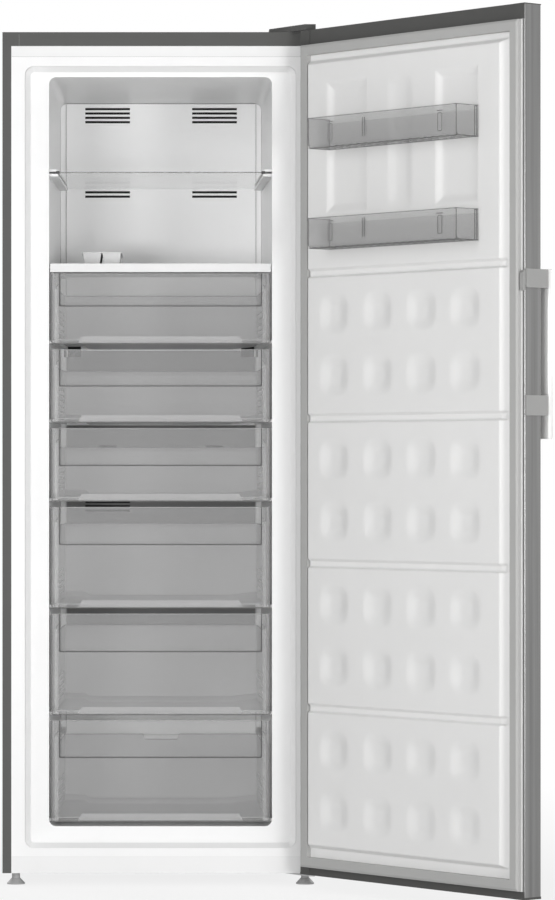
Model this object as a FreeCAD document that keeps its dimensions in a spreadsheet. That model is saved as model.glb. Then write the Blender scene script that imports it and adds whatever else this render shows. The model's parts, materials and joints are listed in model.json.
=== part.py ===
import FreeCAD, Part
import math
import operator
import os
import types

import Sketcher
from FreeCAD import Placement, Rotation, Vector

# Tall one-door freezer, 70 cm wide. Millimetres, +Z up.
# X = 0 is the middle of the cabinet, Y = 0 is the plane of its front edges, Z = 0 is the floor.
# The user stands on the -Y side. Door pieces are drawn shut and then swung open about the hinge.

SIZES = {
    # cabinet shell
    "floor_gap": 26.4,
    "cabinet_width": 700,
    "cabinet_height": 1862,
    "cabinet_depth": 655,
    "side_sheet": 1,
    "side_return": 19.7,
    "top_cover_height": 31,
    "top_cover_wall": 3,
    "top_trim_height": 23.3,
    "bottom_trim_height": 38,
    "front_trim_wall": 2,
    "base_sheet": 2,
    "rear_sheet": 1,
    # inner liner
    "liner_wall": 2,
    # room that cutting shapes run past a surface, and round studs and pins in foam
    "overcut": 1,
    "well_gap": 1,
    "recess_side_margin": 30.3,
    "recess_top_margin": 21.4,
    "recess_bottom_margin": 17.6,
    "recess_depth": 16,
    "recess_radius": 20,
    "frame_side": 52.5,
    "frame_top": 22,
    "frame_bottom": 46.6,
    "frame_fall": 4,
    "opening_radius": 16,
    "back_foam": 62,
    "cavity_taper": 13,
    "ledge_reach": 19,
    "ledge_thickness": 6,
    "ledge_back_gap": 6.7,
    "seat_gap": 0.3,
    "guide_lip_reach": 18.5,
    "guide_lip_thickness": 5,
    # machine bay at the bottom of the back
    "bay_depth": 150,
    "bay_height": 228,
    "step_foam": 43,
    "step_front_foam": 12,
    # air duct
    "duct_cover_setback": 60,
    "duct_cover_half_width": 222,
    "duct_cover_wall": 3,
    "duct_flange_step": 3,
    "duct_flange_gap": 0.5,
    "louvre_inner": 73,
    "louvre_length": 105,
    "louvre_height": 5.5,
    "louvre_pitch": 10.2,
    "top_louvre_drop": 9,
    "shelf_louvre_drop": 4,
    "small_louvre_length": 41,
    "small_louvre_inner": 105,
    "small_louvre_rise": 128,
    "low_louvre_drop": 10,
    "inlet_inner": 188,
    "inlet_length": 40,
    "inlet_height": 26,
    "inlet_rise": 11,
    # cooling
    "coil_tube_radius": 4,
    "coil_rows": 8,
    "coil_pitch": 28,
    "evaporator_half_run": 175,
    "evaporator_rise": 330,
    "fin_thickness": 1,
    "fin_pitch": 22,
    "evaporator_fin_depth": 46,
    "fan_rise": 660,
    "fan_radius": 52,
    "fan_hub_radius": 16,
    "fan_hub_length": 14,
    "fan_blade_chord": 22,
    "fan_blade_wall": 1.5,
    "fan_blade_angle": 30,
    "fan_motor_radius": 28,
    "fan_motor_length": 26,
    "fan_shaft_radius": 2.5,
    "running_gap": 0.05,
    "compressor_radius": 62,
    "compressor_height": 160,
    "compressor_offset": 150,
    "compressor_foot_width": 180,
    "compressor_foot_depth": 110,
    "compressor_foot_sheet": 3,
    "grommet_radius": 9,
    "grommet_height": 12,
    "terminal_box_width": 36,
    "terminal_box_depth": 60,
    "terminal_box_height": 76,
    "tray_width": 200,
    "tray_depth": 124,
    "tray_height": 26,
    "tray_wall": 2,
    "condenser_rows": 6,
    "condenser_half_run": 120,
    "condenser_offset": 190,
    "condenser_fin_depth": 60,
    "gland_width": 26,
    "gland_height": 30,
    "gland_length": 14,
    "gland_bore": 4,
    "gland_offset": 315,
    # shelves
    "glass_half_width": 232,
    "glass_thickness": 4,
    "shelf_setback": 6,
    "shelf_back_gap": 5,
    "upper_shelf_share": 0.484,
    "clip_width": 8,
    "clip_depth": 4,
    "clip_height": 6,
    "lower_plate_thickness": 4,
    "shelf_trim_height": 18.8,
    "shelf_trim_side_gap": 2.5,
    "shelf_trim_lip": 2.5,
    "shelf_trim_depth": 4,
    "ice_tray_width": 90,
    "ice_tray_length": 200,
    "ice_tray_height": 36,
    "ice_tray_wall": 2,
    "ice_tray_offset": 133,
    "ice_tray_setback": 165,
    "ice_cell_rows": 5,
    "ice_cell_draft": 6,
    # drawers
    "drawer_floor_gap": 9.4,
    "tall_drawer_share": 0.14258,
    "low_drawer_share": 0.10528,
    "drawer_gap": 12,
    "shelf_to_drawer_gap": 3,
    "shelf_over_drawers": 3.5,
    "drawer_side_gap": 4.5,
    "drawer_setback": 3,
    "drawer_post_width": 19,
    "drawer_post_depth": 5,
    "drawer_front_wall": 3,
    "drawer_rim": 2,
    "grip_side_margin": 18.5,
    "grip_height": 79,
    "grip_depth": 8,
    "grip_radius": 12,
    "drawer_back_gap": 2,
    "drawer_wall": 2.5,
    "tub_side_margin": 7,
    "tub_top_drop": 3,
    "tub_draft": 2,
    "tub_channel_half": 176,
    "tub_channel_depth": 8,
    "tub_back_drop": 40,
    "bottom_tub_back_drop": 63,
    "vent_length": 255,
    "vent_height": 5,
    "vent_pitch": 13,
    "vent_setback": 139,
    "vent_rise": 22,
    "vent_rows": 5,
    "clip_notch_height": 18,
    "clip_notch_drop": 4,
    # door
    "door_gap": 13,
    "door_thickness": 48,
    "door_bottom_gap": 1.6,
    "door_top_gap": 1.4,
    "door_sheet": 1,
    "door_lip": 6,
    "door_edge_radius": 2.5,
    "door_top_cap_height": 33,
    "door_bottom_cap_height": 17,
    "door_cap_wall": 3,
    "door_cap_block": 31,
    "door_cap_relief": 1,
    "door_top_rim": 2,
    "door_bottom_rim": 5,
    "door_liner_wall": 2,
    "gasket_hinge_margin": 13,
    "gasket_free_margin": 9,
    "gasket_end_margin": 1,
    "gasket_width": 23,
    "gasket_height": 12.4,
    "gasket_bevel": 5,
    "gasket_bevel_height": 3,
    "plug_hinge_margin": 36,
    "plug_free_margin": 63,
    "plug_top_margin": 44,
    "plug_bottom_margin": 51,
    "plug_height": 12,
    "plug_draft": 3,
    "plug_radius": 8,
    "groove_height": 18,
    "groove_depth": 8,
    "groove_draft": 3,
    "panel_share": 0.18536,
    "lowest_groove_share": 0.17386,
    "dimple_width": 92,
    "dimple_height": 86,
    "dimple_depth": 5,
    "dimple_floor": 0.5,
    "dimple_radius": 22,
    "dimple_pitch": 137,
    "dimple_row_pitch": 135,
    "niche_width": 132,
    "niche_spacing": 344,
    "niche_depth": 9,
    "niche_draft": 9,
    "niche_end_draft": 22,
    "niche_radius": 10,
    "niche_top_margin": 38,
    "middle_hollow_width": 100,
    "middle_hollow_depth": 4,
    "middle_hollow_draft": 34,
    "niche_bottom_rise": 121,
    "balcony_half_width": 232.5,
    "balcony_offset": 4.8,
    "balcony_depth": 66.7,
    "balcony_height": 66,
    "balcony_wall": 2.5,
    "balcony_radius": 10,
    "lower_balcony_share": 0.1065,
    "upper_balcony_share": 0.5783,
    "door_open_angle": 129.7,
    # hinges
    "hinge_inset": 15.8,
    "hinge_setback": 21,
    "hinge_pin_radius": 4,
    "hinge_pin_length": 22,
    "hinge_plate": 3,
    "hinge_plate_inset": 10,
    "hinge_plate_width": 77,
    "hinge_plate_depth": 100,
    "hinge_nose": 8,
    "hinge_plate_shoulder": 50,
    "bush_radius": 7,
    "bush_flange_radius": 10,
    "hinge_cover_height": 12.6,
    "hinge_cover_wall": 1.5,
    "hinge_cover_side_inset": 8,
    "hinge_cover_width": 100,
    "hinge_cover_front": 45,
    "hinge_cover_shoulder": 56,
    "hinge_cover_nose": 24,
    "hinge_cover_depth": 110,
    "screw_radius": 2.5,
    "screw_head_radius": 4.5,
    "screw_head_height": 2.5,
    "screw_length": 12,
    "screw_inset": 16,
    "back_screw_share": 0.85,
    "front_screw_share": 0.4,
    "lower_plate_share": 0.6,
    # feet and rollers
    "foot_side_inset": 29,
    "foot_setback": 30,
    "foot_pad_radius": 20,
    "foot_pad_height": 5,
    "foot_dome_height": 12,
    "foot_stem_radius": 9,
    "foot_stud_radius": 5,
    "foot_stud_reach": 24,
    "roller_radius": 12,
    "roller_width": 18,
    "roller_axle_radius": 3,
    "roller_side_inset": 50,
    "roller_rear_inset": 45,
    "roller_sheet": 1.5,
    "roller_side_gap": 0.5,
    # handle
    "handle_bottom": 983.5,
    "handle_length": 353.8,
    "handle_bar_width": 30,
    "handle_bar_thickness": 14,
    "handle_bar_inset": 2,
    "handle_bar_radius": 6,
    "handle_stand_off": 24,
    "handle_bracket_reach": 15,
    "handle_plate": 5.5,
    "upper_bracket_drop": 1.3,
    "upper_bracket_height": 39,
    "lower_bracket_rise": 48.5,
    "lower_bracket_height": 42,
    "handle_neck_width": 13,
    "handle_neck_height": 23,
    "handle_neck_reach": 13,
    "handle_neck_gap": 2,
    "handle_pin_radius": 2.5,
    "handle_pin_reach": 9,
    "handle_lug_width": 11.4,
    "handle_lug_height": 18,
    "handle_slot_gap": 0.3,
    "handle_slot_extra": 3,
    "handle_screw_radius": 2,
    "handle_screw_head": 3.6,
    "handle_screw_inset": 3.5,
    "handle_screw_spread": 10,
    "pusher_wall": 3.2,
    "pusher_reach": 30,
    "pusher_height": 30,
    "pusher_pad": 8,
    "pusher_pad_width": 8.9,
    "pusher_pad_height": 43,
    "pusher_gap": 1,
    "pusher_chamfer": 6,
}

doc = FreeCAD.newDocument("UprightFreezer")
sheet = doc.addObject("Spreadsheet::Sheet", "Sizes")
for row, (alias, number) in enumerate(SIZES.items(), start=1):
    sheet.set(f"A{row}", alias)
    sheet.set(f"B{row}", str(number))
    sheet.setAlias(f"B{row}", alias)
doc.recompute()


# the compressor shell's half section, as shares of its radius and of its height
SHELL_PROFILE = (
    (0, 0),
    (0.75, 0),
    (0.96, 0.12),
    (0.96, 0.56),
    (1, 0.56),
    (1, 0.6),
    (0.94, 0.6),
    (0.92, 0.78),
    (0.72, 0.93),
    (0.4, 1),
    (0, 1),
)


class Size:
    """A length held both as an expression over the sheet's cells and as its present value."""

    def __init__(self, text, value):
        self.text = text
        self.value = value

    def __float__(self):
        return self.value

    def __neg__(self):
        return as_size(0) - self


def as_size(number):
    if isinstance(number, Size):
        return number
    return Size(repr(float(number)), float(number))


def arithmetic(sign, work):
    """The two methods, plain and reflected, of one arithmetic sign between sizes."""

    def plain(left, right):
        left = as_size(left)
        right = as_size(right)
        return Size(f"({left.text} {sign} {right.text})", work(left.value, right.value))

    def reflected(right, left):
        return plain(left, right)

    return plain, reflected


Size.__add__, Size.__radd__ = arithmetic("+", operator.add)
Size.__sub__, Size.__rsub__ = arithmetic("-", operator.sub)
Size.__mul__, Size.__rmul__ = arithmetic("*", operator.mul)
Size.__truediv__, Size.__rtruediv__ = arithmetic("/", operator.truediv)

dim = types.SimpleNamespace(
    **{alias: Size(f"Sizes.{alias}", float(sheet.get(alias))) for alias in SIZES}
)


UP = Vector(0, 0, 1)
RIGHT = Vector(1, 0, 0)
BACK = Vector(0, 1, 0)

# ---- makers -------------------------------------------------------------------------------


def bind(target, prop, size):
    target.setExpression(prop, as_size(size).text)


def place(target, x=0, y=0, z=0):
    bind(target, "Placement.Base.x", x)
    bind(target, "Placement.Base.y", y)
    bind(target, "Placement.Base.z", z)


def point(x, y, z):
    return Vector(float(x), float(y), float(z))


def block(name, x, y, z):
    """A box from a (low, high) pair on each axis."""
    box = doc.addObject("Part::Box", name)
    bind(box, "Length", as_size(x[1]) - x[0])
    bind(box, "Width", as_size(y[1]) - y[0])
    bind(box, "Height", as_size(z[1]) - z[0])
    place(box, x[0], y[0], z[0])
    return box


def rod(name, radius, start, axis, length):
    """A cylinder from a start point along an axis."""
    cylinder = doc.addObject("Part::Cylinder", name)
    bind(cylinder, "Radius", radius)
    bind(cylinder, "Height", length)
    cylinder.Placement = Placement(Vector(), Rotation(UP, axis))
    place(cylinder, *start)
    return cylinder


def fuse(name, *members):
    union = doc.addObject("Part::MultiFuse", name)
    union.Shapes = list(members)
    return union


def group(name, *members):
    """Separate solids that share one node."""
    compound = doc.addObject("Part::Compound", name)
    compound.Links = list(members)
    return compound


def cut(name, base, *tools):
    difference = doc.addObject("Part::Cut", name)
    difference.Base = base
    difference.Tool = tools[0] if len(tools) == 1 else group(name + "Tools", *tools)
    return difference


def shaped(name, shape):
    feature = doc.addObject("Part::Feature", name)
    feature.Shape = shape
    return feature


def sketch_on(body, role, outline):
    """A closed outline of straight lines whose corners are bound to the sheet."""
    plane = next(item for item in body.Origin.OriginFeatures if item.Role == role)
    sketch = body.newObject("Sketcher::SketchObject", body.Name + "Outline")
    sketch.AttachmentSupport = [(plane, "")]
    sketch.MapMode = "FlatFace"
    corners = [point(u, v, 0) for u, v in outline]
    count = len(corners)
    for index, corner in enumerate(corners):
        sketch.addGeometry(Part.LineSegment(corner, corners[(index + 1) % count]))
    for index in range(count):
        sketch.addConstraint(
            Sketcher.Constraint("Coincident", index, 2, (index + 1) % count, 1)
        )
    for index, pair in enumerate(outline):
        for kind, size in zip(("DistanceX", "DistanceY"), pair):
            number = sketch.addConstraint(
                Sketcher.Constraint(kind, -1, 1, index, 1, float(size))
            )
            bind(sketch, f"Constraints[{number}]", size)
    return sketch


def extruded(name, outline, start, length, role="XY_Plane"):
    """A body padded from an outline, along Z on XY_Plane or along X on YZ_Plane."""
    body = doc.addObject("PartDesign::Body", name)
    pad = body.newObject("PartDesign::Pad", name + "Pad")
    pad.Profile = sketch_on(body, role, outline)
    bind(pad, "Length", length)
    body.Tip = pad
    place(body, **{"z" if role == "XY_Plane" else "x": start})
    return body


def turned(name, outline, x=0, y=0, z=0):
    """A body turned about its own upright axis from (radius, height) points."""
    body = doc.addObject("PartDesign::Body", name)
    turn = body.newObject("PartDesign::Revolution", name + "Turn")
    sketch = sketch_on(body, "XZ_Plane", outline)
    turn.Profile = sketch
    turn.ReferenceAxis = (sketch, ["V_Axis"])
    turn.Angle = 360
    body.Tip = turn
    place(body, x, y, z)
    return body


def round_edges(body, radius, axis, wanted):
    """Rounds the edges of a body's tip that run along an axis and whose ends pass the test."""
    doc.recompute()
    base = body.Tip
    names = []
    for index, edge in enumerate(base.Shape.Edges, start=1):
        ends = [vertex.Point for vertex in edge.Vertexes]
        if len(ends) != 2 or (ends[1] - ends[0]).cross(axis).Length > 0.01:
            continue
        if all(wanted(end) for end in ends):
            names.append(f"Edge{index}")
    fillet = body.newObject("PartDesign::Fillet", body.Name + "Round")
    fillet.Base = (base, names)
    bind(fillet, "Radius", radius)
    body.Tip = fillet
    return body


def near(first, second):
    return abs(float(first) - float(second)) < 0.01


def rectangle(half_width, low, high, radius, y, inset=0.0):
    """An upright rectangle with round corners in the plane of one Y."""
    half = float(half_width) - inset
    bottom = float(low) + inset
    top = float(high) - inset
    bend = max(float(radius) - inset, 0.5)
    depth = float(y)
    edges = []
    for sign_x, sign_z in ((1, 1), (-1, 1), (-1, -1), (1, -1)):
        centre = point(sign_x * (half - bend), depth, top - bend if sign_z > 0 else bottom + bend)
        side = centre + Vector(sign_x * bend, 0, 0)
        end = centre + Vector(0, 0, sign_z * bend)
        middle = centre + Vector(sign_x, 0, sign_z) * (bend * math.sqrt(0.5))
        corners = (side, middle, end) if sign_x * sign_z > 0 else (end, middle, side)
        edges.append(Part.Arc(*corners).toShape())
    loop = []
    for index, edge in enumerate(edges):
        following = edges[(index + 1) % 4]
        loop.append(edge)
        loop.append(Part.makeLine(edge.Vertexes[-1].Point, following.Vertexes[0].Point))
    return Part.Wire(loop)


def loft(*wires):
    return Part.makeLoft(list(wires), True, True)


def plate(half_width, low, high, front, back, radius=0.6, inset=0.0):
    """A flat prism between two Y planes, with an upright rectangular outline."""
    return loft(
        rectangle(half_width, low, high, radius, front, inset),
        rectangle(half_width, low, high, radius, back, inset),
    )


def brick(x, y, z):
    """A plain box solid for the shapes that are worked out here."""
    size = [float(high) - float(low) for low, high in (x, y, z)]
    return Part.makeBox(*size, point(x[0], y[0], z[0]))


def bar_solid(radius, start, axis, length):
    return Part.makeCylinder(float(radius), float(length), start, axis)


pieces = {}


def piece(feature, node):
    """Names a finished sub-part."""
    feature.Label = node
    pieces[node] = feature
    return feature


# ---- places that several pieces share ---------------------------------------------------------

half_width = dim.cabinet_width / 2
cabinet_bottom = dim.floor_gap
cabinet_top = cabinet_bottom + dim.cabinet_height
cover_bottom = cabinet_top - dim.top_cover_height
base_top = cabinet_bottom + dim.base_sheet
front_half = half_width - dim.side_return
flange_bottom = cabinet_bottom + dim.bottom_trim_height
flange_top = cover_bottom - dim.top_trim_height
recess_half = front_half - dim.recess_side_margin
recess_bottom = flange_bottom + dim.recess_bottom_margin
recess_top = flange_top - dim.recess_top_margin
opening_half = recess_half - dim.frame_side
opening_bottom = recess_bottom + dim.frame_bottom
opening_top = recess_top - dim.frame_top
opening_y = dim.recess_depth + dim.frame_fall
opening_height = opening_top - opening_bottom
cavity_depth = dim.cabinet_depth - dim.rear_sheet - dim.liner_wall - dim.back_foam
duct_front = cavity_depth - dim.duct_cover_setback
bay_front = dim.cabinet_depth - dim.bay_depth
bay_top = cabinet_bottom + dim.bay_height
step_front = bay_front - dim.rear_sheet - dim.step_front_foam - dim.liner_wall
step_top = bay_top + dim.step_foam + dim.liner_wall
tall_drawer_pitch = opening_height * dim.tall_drawer_share
low_drawer_pitch = opening_height * dim.low_drawer_share
drawers_bottom = opening_bottom + dim.drawer_floor_gap
drawers_top = drawers_bottom + 3 * tall_drawer_pitch + 3 * low_drawer_pitch
trim_top = drawers_top + dim.shelf_over_drawers
trim_bottom = trim_top - dim.shelf_trim_height
lower_plate_top = trim_top - dim.shelf_trim_lip
lower_plate_bottom = lower_plate_top - dim.lower_plate_thickness
glass_bottom = trim_top + (opening_top - trim_top) * dim.upper_shelf_share
glass_top = glass_bottom + dim.glass_thickness
shelf_front = opening_y + dim.shelf_setback
shelf_back = duct_front - dim.shelf_back_gap
trim_back = shelf_front + dim.shelf_trim_depth
post_front = opening_y + dim.drawer_setback
front_plate_front = post_front + dim.drawer_post_depth
front_plate_back = front_plate_front + dim.drawer_front_wall
tub_back = step_front - dim.drawer_back_gap
door_inner = -dim.door_gap
door_outer = door_inner - dim.door_thickness
door_bottom = cabinet_bottom + dim.door_bottom_gap
door_top = cabinet_top - dim.door_top_gap
door_sheet_bottom = door_bottom + dim.door_bottom_cap_height
door_sheet_top = door_top - dim.door_top_cap_height
hinge_x = half_width - dim.hinge_inset
hinge_y = door_inner - dim.hinge_setback
foot_x = half_width - dim.foot_side_inset

door_swing = Placement(
    Vector(),
    Rotation(UP, float(dim.door_open_angle)),
    point(hinge_x, hinge_y, 0),
)


def on_door(feature, node):
    """Names a sub-part that swings with the door, and swings it to its open rest place."""
    feature.Placement = door_swing * feature.Placement
    return piece(feature, node)


# ---- outer shell --------------------------------------------------------------------------


def side_panel(node, side):
    """A painted sheet with a narrow return along its front edge."""
    outer = side * half_width
    inner = side * (half_width - dim.side_sheet)
    lip = side * front_half
    outline = [
        (outer, as_size(0)),
        (lip, as_size(0)),
        (lip, dim.side_sheet),
        (inner, dim.side_sheet),
        (inner, dim.cabinet_depth),
        (outer, dim.cabinet_depth),
    ]
    body = extruded(f"SidePanel{side + 1}", outline, cabinet_bottom, cover_bottom - cabinet_bottom)
    piece(body, node)


side_panel("side_panel_left", -1)
side_panel("side_panel_right", 1)

hinge_plate_right = half_width - dim.hinge_plate_inset
hinge_plate_left = hinge_plate_right - dim.hinge_plate_width
hinge_plate_front = hinge_y - dim.hinge_nose

screw_spots = [
    (hinge_plate_left + dim.screw_inset, dim.hinge_plate_depth * dim.back_screw_share),
    (hinge_plate_right - dim.screw_inset, dim.hinge_plate_depth * dim.back_screw_share),
    (hinge_plate_right - dim.screw_inset, dim.hinge_plate_depth * dim.front_screw_share),
]
plate_top = cabinet_top + dim.hinge_plate


def hinge_screw(index, spot):
    """One screw through the upper hinge plate, head up."""
    shank = rod(
        f"HingeScrewShank{index}",
        dim.screw_radius,
        (*spot, plate_top - dim.screw_length),
        UP,
        dim.screw_length,
    )
    head = rod(
        f"HingeScrewHead{index}",
        dim.screw_head_radius,
        (*spot, plate_top),
        UP,
        dim.screw_head_height,
    )
    return fuse(f"HingeScrew{index}", shank, head)


hinge_screws = piece(
    group("HingeScrews", *[hinge_screw(i, spot) for i, spot in enumerate(screw_spots)]),
    "hinge_screws",
)

cover_outside = block(
    "TopCoverOutside", (-half_width, half_width), (0, dim.cabinet_depth), (cover_bottom, cabinet_top)
)
cover_inside = block(
    "TopCoverInside",
    (-half_width + dim.top_cover_wall, half_width - dim.top_cover_wall),
    (dim.top_cover_wall, dim.cabinet_depth - dim.top_cover_wall),
    (cover_bottom - dim.overcut, cabinet_top - dim.top_cover_wall),
)
piece(cut("TopCover", cover_outside, cover_inside, hinge_screws), "top_cover")

piece(
    block(
        "TopTrim",
        (-front_half, front_half),
        (0, dim.front_trim_wall),
        (flange_top, cover_bottom),
    ),
    "top_trim",
)
piece(
    block(
        "BottomTrim",
        (-front_half, front_half),
        (0, dim.front_trim_wall),
        (cabinet_bottom, flange_bottom),
    ),
    "bottom_trim",
)

inner_half = half_width - dim.side_sheet
rear_outline = [
    (dim.cabinet_depth, cover_bottom),
    (dim.cabinet_depth - dim.rear_sheet, cover_bottom),
    (dim.cabinet_depth - dim.rear_sheet, bay_top),
    (bay_front - dim.rear_sheet, bay_top),
    (bay_front - dim.rear_sheet, base_top),
    (bay_front, base_top),
    (bay_front, bay_top - dim.rear_sheet),
    (dim.cabinet_depth, bay_top - dim.rear_sheet),
]
piece(
    extruded("RearPanel", rear_outline, -inner_half, 2 * inner_half, "YZ_Plane"), "rear_panel"
)

# ---- feet and rollers ------------------------------------------------------------------------

stud_top = base_top + dim.foot_stud_reach


def foot(node, side, seat):
    """A screw foot: a pad, a domed neck and a stud. Its shoulder stops under the seat."""
    shoulder = seat - dim.seat_gap
    outline = [
        (as_size(0), as_size(0)),
        (dim.foot_pad_radius, as_size(0)),
        (dim.foot_pad_radius, dim.foot_pad_height / 2),
        (dim.foot_pad_radius - dim.foot_pad_height / 2, dim.foot_pad_height),
        (dim.foot_stem_radius + 2, dim.foot_dome_height),
        (dim.foot_stem_radius, dim.foot_dome_height + 2),
        (dim.foot_stem_radius, shoulder),
        (dim.foot_stud_radius, shoulder),
        (dim.foot_stud_radius, stud_top),
        (as_size(0), stud_top),
    ]
    piece(turned(f"Foot{side + 1}", outline, side * foot_x, dim.foot_setback), node)


foot("front_foot_left", -1, cabinet_bottom)
foot("front_foot_right", 1, cabinet_bottom - dim.hinge_plate)


def foot_hole(name, side, bottom, top):
    start = (side * foot_x, dim.foot_setback, bottom)
    return rod(name, dim.foot_stud_radius + 2 * dim.running_gap, start, UP, top - bottom)


base_sheet = block(
    "BaseSheet",
    (-inner_half, inner_half),
    (dim.front_trim_wall, dim.cabinet_depth),
    (cabinet_bottom, base_top),
)
base_holes = [
    foot_hole(f"BaseFootHole{side + 1}", side, cabinet_bottom - dim.overcut, base_top + dim.overcut)
    for side in (-1, 1)
]
piece(cut("BasePlate", base_sheet, *base_holes), "base_plate")

roller_y = dim.cabinet_depth - dim.roller_rear_inset
fork_inner = dim.roller_width / 2 + dim.roller_side_gap
fork_outer = fork_inner + dim.roller_sheet


def roller_fork(side):
    """A folded fork under the base plate with its axle riveted in."""
    middle = side * (half_width - dim.roller_side_inset)
    tag = str(side + 1)
    depth = (roller_y - dim.roller_radius, roller_y + dim.roller_radius)
    roof = block(
        "RollerRoof" + tag,
        (middle - fork_outer, middle + fork_outer),
        depth,
        (cabinet_bottom - dim.roller_sheet, cabinet_bottom),
    )
    ears = [
        block(
            f"RollerEar{tag}{index}",
            (middle + low, middle + high),
            depth,
            (dim.roller_radius / 2, cabinet_bottom),
        )
        for index, (low, high) in enumerate(
            ((-fork_outer, -fork_inner), (fork_inner, fork_outer))
        )
    ]
    start = (middle - fork_outer, roller_y, dim.roller_radius)
    axle = rod("RollerAxle" + tag, dim.roller_axle_radius, start, RIGHT, 2 * fork_outer)
    return fuse("RollerFork" + tag, roof, *ears, axle)


def roller(node, side):
    middle = side * (half_width - dim.roller_side_inset)
    start = (middle - dim.roller_width / 2, roller_y, dim.roller_radius)
    tag = str(side + 1)
    tyre = rod("RollerTyre" + tag, dim.roller_radius, start, RIGHT, dim.roller_width)
    bore = rod(
        "RollerBore" + tag,
        dim.roller_axle_radius + dim.running_gap,
        start,
        RIGHT,
        dim.roller_width,
    )
    piece(cut("Roller" + tag, tyre, bore), node)


piece(group("RollerForks", roller_fork(-1), roller_fork(1)), "roller_forks")
roller("rear_roller_left", -1)
roller("rear_roller_right", 1)

# ---- inner liner and foam ------------------------------------------------------------------


def wall_half(y):
    """Half the cavity's width at one depth: it narrows towards the back."""
    share = (y - opening_y) / (cavity_depth - opening_y)
    return opening_half - dim.cavity_taper * share


def cavity_solid(wall):
    """The cavity with its recessed front frame, thickened by a wall."""
    frame_y = dim.recess_depth + wall
    mouth_y = opening_y + wall
    back_y = cavity_depth + wall
    recess = (recess_half, recess_bottom, recess_top, dim.recess_radius)
    mouth = (opening_half, opening_bottom, opening_top, dim.opening_radius)
    back_half = opening_half - dim.cavity_taper
    back_top = opening_top - dim.cavity_taper
    back = (back_half, opening_bottom, back_top, dim.opening_radius)
    grow = -float(wall)
    front_y = -1 if float(wall) == 0 else 0
    entry = plate(*recess[:3], front_y, frame_y, recess[3], grow)
    funnel = loft(
        rectangle(*recess, frame_y, grow),
        rectangle(*mouth, mouth_y, grow),
    )
    room = loft(
        rectangle(*mouth, mouth_y, grow),
        rectangle(*back, back_y, grow),
    )
    whole = entry.fuse([funnel, room])
    below_step = brick(
        (-half_width, half_width),
        (step_front + wall, dim.cabinet_depth),
        (0, step_top - wall),
    )
    return whole.cut(below_step)


cavity_outer = cavity_solid(dim.liner_wall)
cavity_inner = cavity_solid(as_size(0))

drawer_bottoms = [
    drawers_bottom + 3 * tall_drawer_pitch + 2 * low_drawer_pitch,
    drawers_bottom + 3 * tall_drawer_pitch + low_drawer_pitch,
    drawers_bottom + 3 * tall_drawer_pitch,
    drawers_bottom + 2 * tall_drawer_pitch,
    drawers_bottom + tall_drawer_pitch,
    drawers_bottom,
]
drawer_tops = [trim_bottom - dim.shelf_to_drawer_gap] + [
    above - dim.drawer_gap for above in drawer_bottoms[:-1]
]
ledge_tops = [low + dim.tub_channel_depth - dim.seat_gap for low in drawer_bottoms]
ledge_tops.append(lower_plate_bottom - dim.seat_gap)
ledge_tops.append(glass_bottom - dim.seat_gap)


def ledge_pair(reach, bottom, top):
    """A moulded rib along each side wall of the cavity, which follows the wall's taper."""
    front = front_plate_back + dim.seat_gap
    back = tub_back - dim.ledge_back_gap
    outline = [
        point(half_width, front, bottom),
        point(half_width, back, bottom),
        point(wall_half(back) - reach, back, bottom),
        point(wall_half(front) - reach, front, bottom),
    ]
    rib = Part.Face(Part.makePolygon(outline + outline[:1])).extrude(UP * float(top - bottom))
    return [rib, rib.mirror(Vector(), Vector(1, 0, 0))]


ribs = []
for ledge_top in ledge_tops:
    ribs += ledge_pair(dim.ledge_reach, ledge_top - dim.ledge_thickness, ledge_top)
guide_bottom = glass_top + dim.seat_gap
ribs += ledge_pair(dim.guide_lip_reach, guide_bottom, guide_bottom + dim.guide_lip_thickness)

flange = plate(front_half, flange_bottom, flange_top, 0, dim.liner_wall)
liner = flange.fuse(cavity_outer).cut(cavity_inner)
liner = liner.fuse([rib.common(cavity_outer) for rib in ribs])
piece(shaped("InnerLiner", liner.removeSplitter()), "inner_liner")

foam = brick(
    (-inner_half, inner_half),
    (dim.front_trim_wall, dim.cabinet_depth - dim.rear_sheet),
    (base_top, cover_bottom),
)
foam_cap = brick(
    (-half_width + dim.top_cover_wall, half_width - dim.top_cover_wall),
    (dim.top_cover_wall, dim.cabinet_depth - dim.top_cover_wall),
    (cover_bottom, cabinet_top - dim.top_cover_wall),
)
machine_bay = brick(
    (-half_width, half_width),
    (bay_front - dim.rear_sheet, dim.cabinet_depth + dim.overcut),
    (0, bay_top),
)
stud_wells = [
    bar_solid(
        dim.foot_stud_radius + dim.well_gap,
        point(side * foot_x, dim.foot_setback, base_top),
        UP,
        dim.foot_stud_reach + dim.well_gap,
    )
    for side in (-1, 1)
]
screw_wells = [
    bar_solid(
        dim.screw_radius,
        point(*spot, plate_top - dim.screw_length),
        UP,
        dim.screw_length,
    )
    for spot in screw_spots
]
foam = foam.fuse(foam_cap).cut([flange, cavity_outer, machine_bay] + stud_wells + screw_wells)
piece(shaped("InsulationFoam", foam), "insulation_foam")

# ---- air duct and cooling ------------------------------------------------------------------

duct_inner = duct_front + dim.duct_cover_wall
duct_half = dim.duct_cover_half_width
duct_top = opening_top - dim.cavity_taper
duct_outline = [
    (-duct_half, duct_front),
    (duct_half, duct_front),
    (duct_half, cavity_depth),
    (duct_half - dim.duct_cover_wall, cavity_depth),
    (duct_half - dim.duct_cover_wall, duct_inner),
    (-duct_half + dim.duct_cover_wall, duct_inner),
    (-duct_half + dim.duct_cover_wall, cavity_depth),
    (-duct_half, cavity_depth),
]
duct_body = extruded("DuctCover", duct_outline, step_top, duct_top - step_top)

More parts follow.
